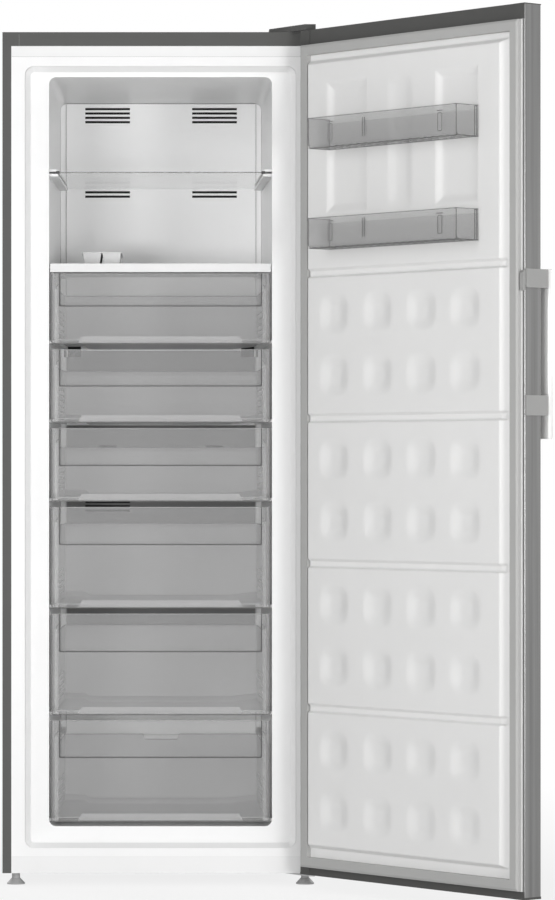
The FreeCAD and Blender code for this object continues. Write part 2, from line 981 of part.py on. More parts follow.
# a thin flange runs from the cover's sides and top to the cavity's walls
flange_y = duct_front + dim.duct_flange_step
flange_back = flange_y + dim.duct_cover_wall / 2
flange_share = (flange_y - opening_y) / (cavity_depth - opening_y)
flange_fall = dim.cavity_taper * flange_share
duct_flange = shaped(
    "DuctFlange",
    plate(
        opening_half - flange_fall,
        step_top,
        opening_top - flange_fall,
        flange_y,
        flange_back,
        dim.opening_radius,
        float(dim.duct_flange_gap),
    ).cut(
        brick(
            (-half_width, half_width),
            (duct_front, cavity_depth),
            (0, step_top + dim.duct_flange_gap + dim.opening_radius),
        )
    ),
)
duct_shell = fuse("DuctShell", duct_body, duct_flange)


def duct_slot(name, side, inner, length, top, height):
    """One long slot through the duct cover and its flange, left (-1) or right (1) of the middle."""
    ends = (inner, inner + length) if side > 0 else (-inner - length, -inner)
    depth = (duct_front - dim.overcut, flange_back + dim.overcut)
    return block(name, ends, depth, (top - height, top))


def louvre(side, inner, length, top):
    return duct_slot("Louvre", side, inner, length, top, dim.louvre_height)


low_shelf_slots = drawer_tops[2] + dim.low_louvre_drop - low_drawer_pitch
slots = []
for side in (-1, 1):
    for number in range(4):
        drop = dim.top_louvre_drop + number * dim.louvre_pitch
        slots.append(louvre(side, dim.louvre_inner, dim.louvre_length, duct_top - drop))
    for number in range(2):
        drop = dim.shelf_louvre_drop + number * dim.louvre_pitch
        slots.append(louvre(side, dim.louvre_inner, dim.louvre_length, glass_bottom - drop))
    small_top = drawer_bottoms[2] + dim.small_louvre_rise
    slots.append(louvre(side, dim.small_louvre_inner, dim.small_louvre_length, small_top))
    inlet_top = drawer_bottoms[0] + dim.inlet_rise
    slots.append(
        duct_slot("Inlet", side, dim.inlet_inner, dim.inlet_length, inlet_top, dim.inlet_height)
    )
for number in range(3):
    top = low_shelf_slots - number * dim.louvre_pitch
    slots.append(louvre(-1, dim.louvre_inner, dim.louvre_length, top))
piece(cut("AirDuctCover", duct_shell, *slots), "air_duct_cover")


def finned_coil(centre_x, middle_y, bottom, half_run, rows, fin_depth):
    """A snaking tube and the fins it passes through, as separate solids standing on the bottom."""
    radius = float(dim.coil_tube_radius)
    pitch = float(dim.coil_pitch)
    reach = float(half_run)
    levels = [float(bottom) + pitch * (number + 0.5) for number in range(int(float(rows)))]
    centre = float(centre_x)
    runs = [
        bar_solid(radius, point(centre - reach, middle_y, level), RIGHT, 2 * reach)
        for level in levels
    ]
    bends = []
    for number, level in enumerate(levels[:-1]):
        side = 1 if number % 2 == 0 else -1
        start = point(centre + side * reach, middle_y, level)
        circle = Part.Face(Part.Wire(Part.makeCircle(radius, start, RIGHT)))
        axis_point = start + Vector(0, 0, pitch / 2)
        bends.append(circle.revolve(axis_point, BACK, -180 * side))
    tube = runs[0].fuse(runs[1:] + bends)
    fin_count = int((2 * reach - pitch) / float(dim.fin_pitch)) + 1
    first = -(fin_count - 1) / 2 * float(dim.fin_pitch)
    fins = []
    for number in range(fin_count):
        x = centre + first + number * float(dim.fin_pitch)
        fin = brick(
            (x - dim.fin_thickness / 2, x + dim.fin_thickness / 2),
            (middle_y - fin_depth / 2, middle_y + fin_depth / 2),
            (bottom, bottom + rows * dim.coil_pitch),
        )
        fins.append(fin.cut(runs))
    return Part.makeCompound([tube] + fins)


evaporator_y = cavity_depth - dim.evaporator_fin_depth / 2
evaporator_bottom = step_top + dim.evaporator_rise
piece(
    shaped(
        "Evaporator",
        finned_coil(
            as_size(0),
            evaporator_y,
            evaporator_bottom,
            dim.evaporator_half_run,
            dim.coil_rows,
            dim.evaporator_fin_depth,
        ),
    ),
    "evaporator",
)

fan_z = step_top + dim.fan_rise
motor_front = cavity_depth - dim.fan_motor_length
fan_back = motor_front - 2
fan_front = fan_back - dim.fan_hub_length
motor_case = rod(
    "FanMotorCase",
    dim.fan_motor_radius,
    (0, motor_front, fan_z),
    BACK,
    dim.fan_motor_length,
)
motor_shaft = rod(
    "FanMotorShaft",
    dim.fan_shaft_radius,
    (0, fan_front, fan_z),
    BACK,
    motor_front - fan_front,
)
piece(fuse("FanMotor", motor_case, motor_shaft), "evaporator_fan_motor")


def fan_wheel():
    """A hub with five pitched blades, its axis along Y."""
    centre = point(0, fan_front, fan_z)
    wheel = bar_solid(dim.fan_hub_radius, centre, BACK, dim.fan_hub_length)
    middle = centre + Vector(0, float(dim.fan_hub_length) / 2, 0)
    chord = float(dim.fan_blade_chord)
    wall = float(dim.fan_blade_wall)
    root = float(dim.fan_hub_radius) * 0.8
    blade = Part.makeBox(
        chord,
        wall,
        float(dim.fan_radius) - root,
        middle + Vector(-chord / 2, -wall / 2, root),
    )
    blade.rotate(middle, UP, float(dim.fan_blade_angle))
    blades = []
    for number in range(5):
        turned_blade = blade.copy()
        turned_blade.rotate(middle, BACK, 72 * number)
        blades.append(turned_blade)
    bore = bar_solid(
        dim.fan_shaft_radius + dim.running_gap, centre, BACK, dim.fan_hub_length
    )
    return wheel.fuse(blades).cut(bore)


piece(shaped("FanWheel", fan_wheel()), "evaporator_fan")

# ---- machine bay -----------------------------------------------------------------------------

bay_middle = (bay_front + dim.cabinet_depth) / 2
foot_sheet_bottom = base_top + dim.grommet_height
shell_bottom = foot_sheet_bottom + dim.compressor_foot_sheet
shell_radius = dim.compressor_radius
shell_height = dim.compressor_height
shell_outline = [
    (shell_radius * share_out, shell_height * share_up) for share_out, share_up in SHELL_PROFILE
]
compressor_shell = turned(
    "CompressorShell", shell_outline, dim.compressor_offset, bay_middle, shell_bottom
)
compressor_feet = block(
    "CompressorFeet",
    (
        dim.compressor_offset - dim.compressor_foot_width / 2,
        dim.compressor_offset + dim.compressor_foot_width / 2,
    ),
    (bay_middle - dim.compressor_foot_depth / 2, bay_middle + dim.compressor_foot_depth / 2),
    (foot_sheet_bottom, shell_bottom),
)
compressor = piece(fuse("Compressor", compressor_shell, compressor_feet), "compressor")

grommets = []
for side_x in (-1, 1):
    for side_y in (-1, 1):
        spot = (
            dim.compressor_offset
            + side_x * (dim.compressor_foot_width / 2 - dim.grommet_radius),
            bay_middle + side_y * (dim.compressor_foot_depth / 2 - dim.grommet_radius),
            base_top,
        )
        name = f"Grommet{side_x + 1}{side_y + 1}"
        grommets.append(rod(name, dim.grommet_radius, spot, UP, dim.grommet_height))
piece(group("CompressorGrommets", *grommets), "compressor_grommets")

terminal_block = block(
    "TerminalBlock",
    (
        dim.compressor_offset + shell_radius * 0.5,
        dim.compressor_offset + shell_radius + dim.terminal_box_width,
    ),
    (bay_middle - dim.terminal_box_depth / 2, bay_middle + dim.terminal_box_depth / 2),
    (shell_bottom, shell_bottom + dim.terminal_box_height),
)
piece(cut("TerminalBox", terminal_block, compressor), "compressor_terminal_box")

drip_bottom = shell_bottom + shell_height
drip_half = dim.tray_width / 2
drip_outside = block(
    "DripOutside",
    (dim.compressor_offset - drip_half, dim.compressor_offset + drip_half),
    (bay_middle - dim.tray_depth / 2, bay_middle + dim.tray_depth / 2),
    (drip_bottom, drip_bottom + dim.tray_height),
)
drip_inside = block(
    "DripInside",
    (
        dim.compressor_offset - drip_half + dim.tray_wall,
        dim.compressor_offset + drip_half - dim.tray_wall,
    ),
    (
        bay_middle - dim.tray_depth / 2 + dim.tray_wall,
        bay_middle + dim.tray_depth / 2 - dim.tray_wall,
    ),
    (drip_bottom + dim.tray_wall, drip_bottom + dim.tray_height + dim.overcut),
)
piece(cut("DrainTray", drip_outside, drip_inside), "drain_tray")

piece(
    shaped(
        "Condenser",
        finned_coil(
            -dim.condenser_offset,
            bay_middle,
            base_top,
            dim.condenser_half_run,
            dim.condenser_rows,
            dim.condenser_fin_depth,
        ),
    ),
    "condenser",
)

gland_back = dim.cabinet_depth
gland_block = block(
    "GlandBlock",
    (dim.gland_offset - dim.gland_width / 2, dim.gland_offset + dim.gland_width / 2),
    (gland_back - dim.gland_length, gland_back),
    (base_top, base_top + dim.gland_height),
)
gland_bore = rod(
    "GlandBore",
    dim.gland_bore,
    (dim.gland_offset, gland_back - dim.gland_length, base_top + dim.gland_height / 2),
    BACK,
    dim.gland_length,
)
piece(cut("MainsCordGland", gland_block, gland_bore), "mains_cord_gland")

# ---- shelves and ice tray --------------------------------------------------------------------

glass = block(
    "ShelfGlass",
    (-dim.glass_half_width, dim.glass_half_width),
    (shelf_front, shelf_back),
    (glass_bottom, glass_top),
)
clips = []
for side in (-1, 1):
    edge = side * (dim.glass_half_width - dim.clip_width / 2)
    middle = (glass_bottom + glass_top) / 2
    clips.append(
        block(
            f"ShelfClip{side + 1}",
            (edge - dim.clip_width / 2, edge + dim.clip_width / 2),
            (shelf_front - dim.clip_depth, shelf_front),
            (middle - dim.clip_height / 2, middle + dim.clip_height / 2),
        )
    )
piece(glass, "upper_glass_shelf")
piece(group("ShelfClips", *clips), "shelf_corner_clips")

piece(
    block(
        "LowerShelfPlate",
        (-dim.glass_half_width, dim.glass_half_width),
        (trim_back, shelf_back),
        (lower_plate_bottom, lower_plate_top),
    ),
    "lower_shelf_plate",
)
piece(
    block(
        "LowerShelfTrim",
        (-opening_half + dim.shelf_trim_side_gap, opening_half - dim.shelf_trim_side_gap),
        (shelf_front, trim_back),
        (trim_bottom, trim_top),
    ),
    "lower_shelf_trim",
)


def ice_tray():
    """A rim plate with two rows of tapered cups hanging from it."""
    wall = float(dim.ice_tray_wall)
    centre = -float(dim.ice_tray_offset)
    front = float(opening_y + dim.ice_tray_setback)
    bottom = float(lower_plate_top + dim.seat_gap)
    top = bottom + float(dim.ice_tray_height)
    half = float(dim.ice_tray_width) / 2
    length = float(dim.ice_tray_length)
    rows = int(float(dim.ice_cell_rows))
    cell_x = (2 * half - 3 * wall) / 2
    cell_y = (length - (rows + 1) * wall) / rows
    draft = float(dim.ice_cell_draft)

    def cup(x, y, inset, low, high):
        """A cup between two levels, its floor smaller than its mouth."""
        loops = []
        for shrink, level in ((draft + inset, low), (inset, high)):
            corners = [
                Vector(x + shrink, y + shrink, level),
                Vector(x + cell_x - shrink, y + shrink, level),
                Vector(x + cell_x - shrink, y + cell_y - shrink, level),
                Vector(x + shrink, y + cell_y - shrink, level),
            ]
            loops.append(Part.makePolygon(corners + corners[:1]))
        return loft(*loops)

    rim = Part.makeBox(2 * half, length, wall, Vector(centre - half, front, top - wall))
    cups = []
    hollows = []
    for column in range(2):
        for row in range(rows):
            x = centre - half + wall + column * (cell_x + wall)
            y = front + wall + row * (cell_y + wall)
            cups.append(cup(x, y, 0, bottom, top - wall / 2))
            hollows.append(cup(x, y, wall, bottom + wall, top + 0.1))
    return rim.fuse(cups).cut(hollows).removeSplitter()


piece(shaped("IceTray", ice_tray()), "ice_tray")

# ---- drawers ---------------------------------------------------------------------------------

drawer_half = opening_half - dim.drawer_side_gap
grip_half = drawer_half - dim.grip_side_margin


def drawer_front(number, low, high):
    """A clear panel with a rim, two hollow-looking posts and a sunk grip along its top."""
    tag = f"Drawer{number}"
    panel = block(
        tag + "Panel", (-drawer_half, drawer_half), (front_plate_front, front_plate_back), (low, high)
    )
    solids = [panel]
    for side in (-1, 1):
        outer = side * drawer_half
        inner = side * (drawer_half - dim.drawer_post_width)
        ends = (outer, inner) if side < 0 else (inner, outer)
        solids.append(
            block(f"{tag}Post{side + 1}", ends, (post_front, front_plate_front), (low, high))
        )
    rim_front = front_plate_front - dim.drawer_rim
    solids.append(
        block(
            tag + "Foot",
            (-drawer_half, drawer_half),
            (rim_front, front_plate_front),
            (low, low + dim.drawer_rim),
        )
    )
    grip_back = front_plate_front + dim.grip_depth
    grip_low = high - dim.grip_height

    def grip_prism(name, front, back, inset, top):
        """The grip's outline, round at its two lower corners."""
        half = grip_half - inset
        outline = [(-half, top), (-half, grip_low + inset), (half, grip_low + inset), (half, top)]
        body = doc.addObject("PartDesign::Body", name)
        pad = body.newObject("PartDesign::Pad", name + "Pad")
        pad.Profile = sketch_on(body, "XZ_Plane", outline)
        bind(pad, "Length", back - front)
        body.Tip = pad
        place(body, y=back)
        low_edge = grip_low + inset
        return round_edges(
            body,
            dim.grip_radius - inset,
            BACK,
            lambda end: near(end.z, low_edge) and near(abs(end.x), half),
        )

    outside = grip_prism(tag + "GripOut", front_plate_front, grip_back, as_size(0), high)
    inside = grip_prism(
        tag + "GripIn",
        front_plate_front - dim.overcut,
        grip_back - dim.drawer_wall,
        dim.drawer_wall,
        high + dim.overcut,
    )
    notch_top = high - dim.clip_notch_drop
    notches = []
    for side in (-1, 1):
        middle = side * (drawer_half - dim.drawer_post_width / 2)
        notches.append(
            block(
                f"{tag}Notch{side + 1}",
                (middle - dim.drawer_post_width / 4, middle + dim.drawer_post_width / 4),
                (post_front - dim.overcut, post_front + dim.drawer_rim),
                (notch_top - dim.clip_notch_height, notch_top),
            )
        )
    whole = fuse(tag + "FrontSolid", *solids, outside)
    piece(cut(tag + "Front", whole, inside, *notches), f"drawer_{number}_front")


def tub_section(half, low, high, y, wall):
    """The outline across a drawer: straight sides and a floor that is sunk in the middle."""
    shift = wall * math.tan(math.pi / 8)
    channel = float(dim.tub_channel_half) - shift
    sink = float(dim.tub_channel_depth)
    side_low = low + sink + wall
    right = [
        Vector(channel, y, low + wall),
        Vector(channel + sink, y, side_low),
        Vector(half - float(dim.tub_draft) - wall, y, side_low),
        Vector(half - wall, y, high),
    ]
    left = [Vector(-corner.x, y, corner.z) for corner in reversed(right)]
    return Part.makePolygon(right + left + right[:1])


def drawer_tub(number, low, high, back_drop):
    """The drawer's box: open at the top and the front, with a lower back wall."""
    wall = float(dim.drawer_wall)
    bottom = float(low)
    top = float(high - dim.tub_top_drop)
    front = float(front_plate_back)
    back = float(tub_back)
    front_half_width = float(drawer_half - dim.tub_side_margin)
    taper = float(wall_half(front_plate_back) - wall_half(tub_back))
    outer = loft(
        tub_section(front_half_width, bottom, top, front, 0),
        tub_section(front_half_width - taper, bottom, top, back, 0),
    )
    slope = taper / (back - front)
    inner_back = back - wall
    inner = loft(
        tub_section(front_half_width + slope, bottom, top + 0.01, front - dim.overcut, wall),
        tub_section(
            front_half_width - slope * (inner_back - front), bottom, top + 0.01, inner_back, wall
        ),
    )
    reach = float(half_width)
    back_gap = brick(
        (-reach, reach), (inner_back - 0.5, back + dim.overcut), (top - float(back_drop), top + dim.overcut)
    )
    vents = []
    for step in range(int(float(dim.vent_rows))):
        vent_low = low + dim.vent_rise + step * dim.vent_pitch
        start = front + float(dim.vent_setback)
        vent = brick(
            (-reach, reach),
            (start, start + float(dim.vent_length)),
            (vent_low, vent_low + dim.vent_height),
        )
        vents.append(vent)
    piece(
        shaped(f"Drawer{number}Tub", outer.cut([inner, back_gap] + vents)),
        f"drawer_{number}_tub",
    )


for index, (low, high) in enumerate(zip(drawer_bottoms, drawer_tops)):
    number = index + 1
    is_bottom = number == len(drawer_bottoms)
    drawer_front(number, low, high)
    drawer_tub(number, low, high, dim.bottom_tub_back_drop if is_bottom else dim.tub_back_drop)

# ---- door shell ------------------------------------------------------------------------------

sheet_in = dim.door_sheet
lip_edge = half_width - dim.door_lip
skin_outline = [
    (-half_width, door_inner),
    (-half_width, door_outer),
    (half_width, door_outer),
    (half_width, door_inner),
    (lip_edge, door_inner),
    (lip_edge, door_inner - sheet_in),
    (half_width - sheet_in, door_inner - sheet_in),
    (half_width - sheet_in, door_outer + sheet_in),
    (-half_width + sheet_in, door_outer + sheet_in),
    (-half_width + sheet_in, door_inner - sheet_in),
    (-lip_edge, door_inner - sheet_in),
    (-lip_edge, door_inner),
]
skin_low = door_bottom + dim.door_bottom_rim
skin_high = door_top - dim.door_top_rim
skin_body = extruded("DoorSkinSheet", skin_outline, skin_low, skin_high - skin_low)
skin_body = round_edges(
    skin_body,
    dim.door_edge_radius,
    UP,
    lambda end: near(abs(end.x), half_width),
)
cap_half = half_width - sheet_in
cap_rooms = [
    block(
        name,
        (-cap_half, cap_half),
        (door_outer + sheet_in, door_inner + dim.overcut),
        room,
    )
    for name, room in (
        ("TopCapRoom", (door_sheet_top, door_top)),
        ("BottomCapRoom", (door_bottom, door_sheet_bottom)),
    )
]

# handle places, in the shut door's frame: the free edge is at X = -half_width
bracket_face = door_outer - dim.handle_bracket_reach
bar_back = door_outer - dim.handle_stand_off
bar_front = bar_back - dim.handle_bar_thickness
bar_left = -half_width + dim.handle_bar_inset
bar_right = bar_left + dim.handle_bar_width
bar_middle = (bar_left + bar_right) / 2
handle_top = dim.handle_bottom + dim.handle_length
upper_top = handle_top - dim.upper_bracket_drop
upper_low = upper_top - dim.upper_bracket_height
lower_low = dim.handle_bottom + dim.lower_bracket_rise
lower_top = lower_low + dim.lower_bracket_height
pivot_z = (lower_low + lower_top) / 2
pivot_y = door_outer - dim.handle_pin_reach
screw_x = -half_width + dim.handle_screw_inset
screw_head_face = bracket_face + 2

screw_levels = [
    (upper_low + upper_top) / 2 - dim.handle_screw_spread,
    (upper_low + upper_top) / 2 + dim.handle_screw_spread,
    pivot_z - dim.handle_screw_spread - dim.handle_screw_inset,
    pivot_z + dim.handle_screw_spread + dim.handle_screw_inset,
]


def handle_screw(index, level):
    """One countersunk screw from the bracket's front into the door."""
    head = rod(
        f"HandleScrewHead{index}",
        dim.handle_screw_head,
        (screw_x, screw_head_face, level),
        BACK,
        dim.screw_head_height,
    )
    shank = rod(
        f"HandleScrewShank{index}",
        dim.handle_screw_radius,
        (screw_x, screw_head_face, level),
        BACK,
        dim.screw_length + dim.handle_bracket_reach - 2,
    )
    return fuse(f"HandleScrew{index}", head, shank)


screws = [handle_screw(index, level) for index, level in enumerate(screw_levels)]
screw_set = group("HandleScrewSet", *screws)
screw_sinks = [
    rod(
        f"HandleScrewSink{index}",
        dim.handle_screw_head,
        (screw_x, bracket_face - 1, level),
        BACK,
        3,
    )
    for index, level in enumerate(screw_levels)
]
on_door(cut("DoorSkin", skin_body, *cap_rooms, screw_set), "door_skin")


def door_cap(name, node, low, high, rim, hollow_z):
    """A plastic end cap inside the skin's ends, with a rim over them and a boss for the hinge pin."""
    wall = dim.door_cap_wall
    middle_half = half_width - dim.door_cap_block
    members = [
        block(
            name + "Body",
            (-cap_half, cap_half),
            (door_outer + sheet_in, door_inner),
            (low, high),
        ),
        block(name + "Rim", (-half_width, half_width), (door_outer, door_inner), rim),
    ]
    relief = block(
        name + "Relief",
        (-middle_half, middle_half),
        (door_inner - dim.door_cap_relief, door_inner + dim.overcut),
        (low - dim.overcut, high + dim.overcut),
    )
    hollow = block(
        name + "Hollow",
        (-cap_half + wall, cap_half - wall),
        (door_outer + sheet_in + wall, door_inner - dim.door_cap_relief - wall),
        hollow_z,
    )
    shell = cut(name + "Shell", fuse(name + "Whole", *members), relief, hollow)
    boss = rod(name + "Boss", dim.bush_flange_radius, (hinge_x, hinge_y, low), UP, high - low)
    solid = fuse(name + "Solid", shell, boss)
    bore_low = (hinge_x, hinge_y, low - dim.overcut)
    bore = rod(name + "Bore", dim.bush_radius, bore_low, UP, high - low + 2 * dim.overcut)
    on_door(cut(name, solid, bore), node)


door_cap(
    "DoorTopCap",
    "door_top_cap",
    door_sheet_top,
    door_top,
    (door_top - dim.door_top_rim, door_top),
    (door_sheet_top - dim.overcut, door_top - dim.door_cap_wall),
)
door_cap(
    "DoorBottomCap",
    "door_bottom_cap",
    door_bottom,
    door_sheet_bottom,
    (door_bottom, door_bottom + dim.door_bottom_rim),
    (door_bottom + dim.door_cap_wall, door_sheet_bottom + dim.overcut),
)


def bush(name, low, high, flange):
    """A plastic sleeve on a hinge pin, with an optional flange under it."""
    sleeve = rod(name + "Sleeve", dim.bush_radius, (hinge_x, hinge_y, low), UP, high - low)
    members = [sleeve]
    bottom = low
    if flange is not None:
        bottom = flange
        members.append(
            rod(name + "Flange", dim.bush_flange_radius, (hinge_x, hinge_y, flange), UP, low - flange)
        )
    solid = fuse(name + "Solid", *members) if len(members) > 1 else sleeve
    bore = rod(
        name + "Bore",
        dim.hinge_pin_radius + dim.running_gap,
        (hinge_x, hinge_y, bottom - dim.overcut),
        UP,
        high - bottom + 2,
    )
    return cut(name, solid, bore)


lower_bush = bush("LowerBush", door_bottom, door_sheet_bottom, cabinet_bottom + dim.seat_gap)
upper_bush = bush("UpperBush", door_sheet_top, door_top, None)
on_door(group("HingeBushes", lower_bush, upper_bush), "hinge_bushes")

# ---- door liner, foam and gasket ---------------------------------------------------------------

plug_half = half_width - (dim.plug_hinge_margin + dim.plug_free_margin) / 2
plug_shift = Vector(float(dim.plug_free_margin - dim.plug_hinge_margin) / 2, 0, 0)
plug_low = door_sheet_bottom + dim.plug_bottom_margin
plug_high = door_sheet_top - dim.plug_top_margin
plug_front = door_inner + dim.plug_height
plug_length = plug_high - plug_low
panel_pitch = plug_length * dim.panel_share
panel_low = plug_low + dim.plug_draft
lowest_groove = panel_low + plug_length * dim.lowest_groove_share
groove_levels = [lowest_groove + row * panel_pitch for row in range(4)]
panel_middles = [
    level - panel_pitch / 2 for level in [groove_levels[0]] + groove_levels[1:]
]


def groove_cutter(level, wall):
    """A trench across the whole plug with sloping sides."""
    half = float(dim.groove_height) / 2 + wall
    draft = float(dim.groove_draft)
    mouth = float(plug_front + dim.overcut)
    floor = float(plug_front - dim.groove_depth) - wall
    middle = float(level)
    reach = float(half_width)
    corners = [
        Vector(-reach, mouth, middle - half),
        Vector(-reach, mouth, middle + half),
        Vector(-reach, floor, middle + half - draft),
        Vector(-reach, floor, middle - half + draft),
    ]
    section = Part.Face(Part.makePolygon(corners + corners[:1]))
    return section.extrude(Vector(2 * reach, 0, 0))


def hollow_cutter(centre_x, low, high, width, depth, draft, end_draft, radius, wall):
    """A hollow pressed into the plug's front, tapered by a draft at its sides and at its ends."""
    face = float(plug_front)
    half = float(width) / 2 + wall
    floor_half = half - float(draft)
    bend = float(radius) + wall
    shapes = loft(
        rectangle(half, float(low) - wall, float(high) + wall, bend, face + 0.01),
        rectangle(
            floor_half,
            float(low) - wall + float(end_draft),
            float(high) + wall - float(end_draft),
            max(bend - float(draft), 2),
            face - float(depth) - wall,
        ),
    )
    shapes.translate(Vector(float(centre_x), 0, 0))
    return shapes


dimple_draft = (1 - dim.dimple_floor) * dim.dimple_height / 2


def plug_solid(wall):
    """The raised inner part of the door liner, shrunk by a wall, with everything pressed into it."""
    base_y = door_inner - wall
    front_y = plug_front - wall
    solid = loft(
        rectangle(plug_half, plug_low, plug_high, dim.plug_radius, base_y, wall),
        rectangle(
            plug_half - dim.plug_draft,
            plug_low + dim.plug_draft,
            plug_high - dim.plug_draft,
            dim.plug_radius,
            front_y,
            wall,
        ),
    )
    tools = [groove_cutter(level, wall) for level in groove_levels]
    for middle in panel_middles:
        for row in (-0.5, 0.5):
            centre_z = middle + row * dim.dimple_row_pitch
            for column in (-1.5, -0.5, 0.5, 1.5):
                tools.append(
                    hollow_cutter(
                        column * dim.dimple_pitch,
                        centre_z - dim.dimple_height / 2,
                        centre_z + dim.dimple_height / 2,
                        dim.dimple_width,
                        dim.dimple_depth,
                        dimple_draft,
                        dimple_draft,
                        dim.dimple_radius,
                        wall,
                    )
                )
    niche_low = groove_levels[3] + dim.niche_bottom_rise
    niche_high = plug_high - dim.niche_top_margin
    for side in (-0.5, 0.5):
        tools.append(
            hollow_cutter(
                side * dim.niche_spacing,
                niche_low,
                niche_high,
                dim.niche_width,
                dim.niche_depth,
                dim.niche_draft,
                dim.niche_end_draft,
                dim.niche_radius,
                wall,
            )
        )
    tools.append(
        hollow_cutter(
            0,
            niche_low,
            niche_high,
            dim.middle_hollow_width,
            dim.middle_hollow_depth,
            dim.middle_hollow_draft,
            dim.middle_hollow_draft,
            dim.middle_hollow_draft,
            wall,
        )
    )
    solid = solid.cut(tools)
    solid.translate(plug_shift)
    return solid


door_liner_wall = float(dim.door_liner_wall)
plug_outer = plug_solid(0.0)
plug_inner = plug_solid(door_liner_wall)
ring = brick(
    (-lip_edge, lip_edge),
    (door_inner - dim.door_liner_wall, door_inner),
    (door_sheet_bottom, door_sheet_top),
)
door_liner = ring.fuse(plug_outer).cut(plug_inner)
on_door(shaped("DoorLiner", door_liner), "door_liner")

door_core = brick(
    (-half_width + sheet_in, half_width - sheet_in),
    (door_outer + sheet_in, door_inner - dim.door_liner_wall),
    (door_sheet_bottom, door_sheet_top),
)
pin_wells = [
    bar_solid(
        dim.hinge_pin_radius + dim.well_gap,
        point(hinge_x, hinge_y, start),
        UP,
        dim.hinge_pin_length,
    )
    for start in (door_sheet_bottom - dim.overcut, door_sheet_top - dim.hinge_pin_length + dim.overcut)
]
screw_core = [
    bar_solid(
        dim.handle_screw_radius,
        point(screw_x, screw_head_face, level),
        BACK,
        dim.screw_length + dim.handle_bracket_reach - 2,
    )
    for level in screw_levels
]
door_foam = door_core.fuse(plug_inner).cut(pin_wells + screw_core)
on_door(shaped("DoorFoam", door_foam), "door_foam")


def gasket():
    """A soft frame around the plug, bevelled on its outside so that it clears as the door turns."""
    half = half_width - (dim.gasket_hinge_margin + dim.gasket_free_margin) / 2
    low = door_sheet_bottom + dim.gasket_end_margin
    high = door_sheet_top - dim.gasket_end_margin
    bevel = float(dim.gasket_bevel)
    full = door_inner + dim.gasket_height
    shoulder = full - dim.gasket_bevel_height
    body = plate(half, low, high, door_inner, shoulder)
    bead = loft(
        rectangle(half, low, high, 0.6, shoulder),
        rectangle(half, low, high, 0.6, full, bevel),
    )
    window_depth = (door_inner - dim.overcut, full + dim.overcut)
    window = plate(half, low, high, *window_depth, 0.6, float(dim.gasket_width))
    frame = body.fuse(bead).cut(window).removeSplitter()
    frame.translate(Vector(float(dim.gasket_free_margin - dim.gasket_hinge_margin) / 2, 0, 0))
    return frame


on_door(shaped("DoorGasket", gasket()), "door_gasket")

# ---- door balconies --------------------------------------------------------------------------


def balcony(name, node, rise):
    """A clear bin, open at the top, that hangs on the plug's front."""
    low = groove_levels[3] + rise
    high = low + dim.balcony_height
    wall = dim.balcony_wall
    back = plug_front + dim.seat_gap
    front = back + dim.balcony_depth
    right = dim.balcony_offset + dim.balcony_half_width
    left = dim.balcony_offset - dim.balcony_half_width
    outline = [(left, back), (right, back), (right, front), (left, front)]
    outside = extruded(name + "Outside", outline, low, high - low)
    round_edges(outside, dim.balcony_radius, UP, lambda end: near(end.y, front))
    inner_outline = [
        (left + wall, back + wall),
        (right - wall, back + wall),
        (right - wall, front - wall),
        (left + wall, front - wall),
    ]
    inside = extruded(name + "Inside", inner_outline, low + wall, high - low)
    round_edges(inside, dim.balcony_radius - wall, UP, lambda end: near(end.y, front - wall))
    on_door(cut(name, outside, inside), node)


for tag, node, share in (
    ("LowerBalcony", "door_balcony_lower", dim.lower_balcony_share),
    ("UpperBalcony", "door_balcony_upper", dim.upper_balcony_share),
):
    balcony(tag, node, (plug_high - groove_levels[3]) * share)

# ---- handle ----------------------------------------------------------------------------------

bar_outline = [
    (bar_left, bar_front),
    (bar_right, bar_front),
    (bar_right, bar_back),
    (bar_left, bar_back),
]
bar_body = extruded("HandleBarStock", bar_outline, dim.handle_bottom, dim.handle_length)
round_edges(bar_body, dim.handle_bar_radius, UP, lambda end: near(end.y, bar_back))
neck_z = (upper_low + upper_top) / 2
neck_half = dim.handle_neck_width / 2
lug_half = dim.handle_lug_width / 2
neck = block(
    "HandleNeck",
    (bar_middle - neck_half, bar_middle + neck_half),
    (bar_back - 2, bracket_face + dim.handle_neck_reach),
    (neck_z - dim.handle_neck_height / 2, neck_z + dim.handle_neck_height / 2),
)
lug = block(
    "HandleLug",
    (bar_middle - lug_half, bar_middle + lug_half),
    (bar_back - 2, pivot_y + 2 * dim.handle_pin_radius),
    (pivot_z - dim.handle_lug_height / 2, pivot_z + dim.handle_lug_height / 2),
)
pivot_bore = rod(
    "HandlePivotBore",
    dim.handle_pin_radius + dim.running_gap,
    (bar_left, pivot_y, pivot_z),
    RIGHT,
    dim.handle_bar_width,
)
handle_solid = fuse("HandleBarSolid", bar_body, neck, lug)
on_door(cut("HandleBar", handle_solid, pivot_bore), "handle_bar")

bracket_right = bar_right - dim.handle_bar_inset
plate_left = -half_width - dim.handle_plate
pivot_pin = rod(
    "HandlePivotPin",
    dim.handle_pin_radius,
    (bar_left, pivot_y, pivot_z),
    RIGHT,
    bracket_right - bar_left,
)


def bracket(name, low, high, tools):
    """A cheek on the door's free edge and a block on its front, in one casting."""
    front_block = block(name + "Block", (plate_left, bracket_right), (bracket_face, door_outer), (low, high))
    cheek = block(name + "Cheek", (plate_left, -half_width), (door_outer, door_inner), (low, high))
    return cut(name, fuse(name + "Solid", front_block, cheek), *tools)


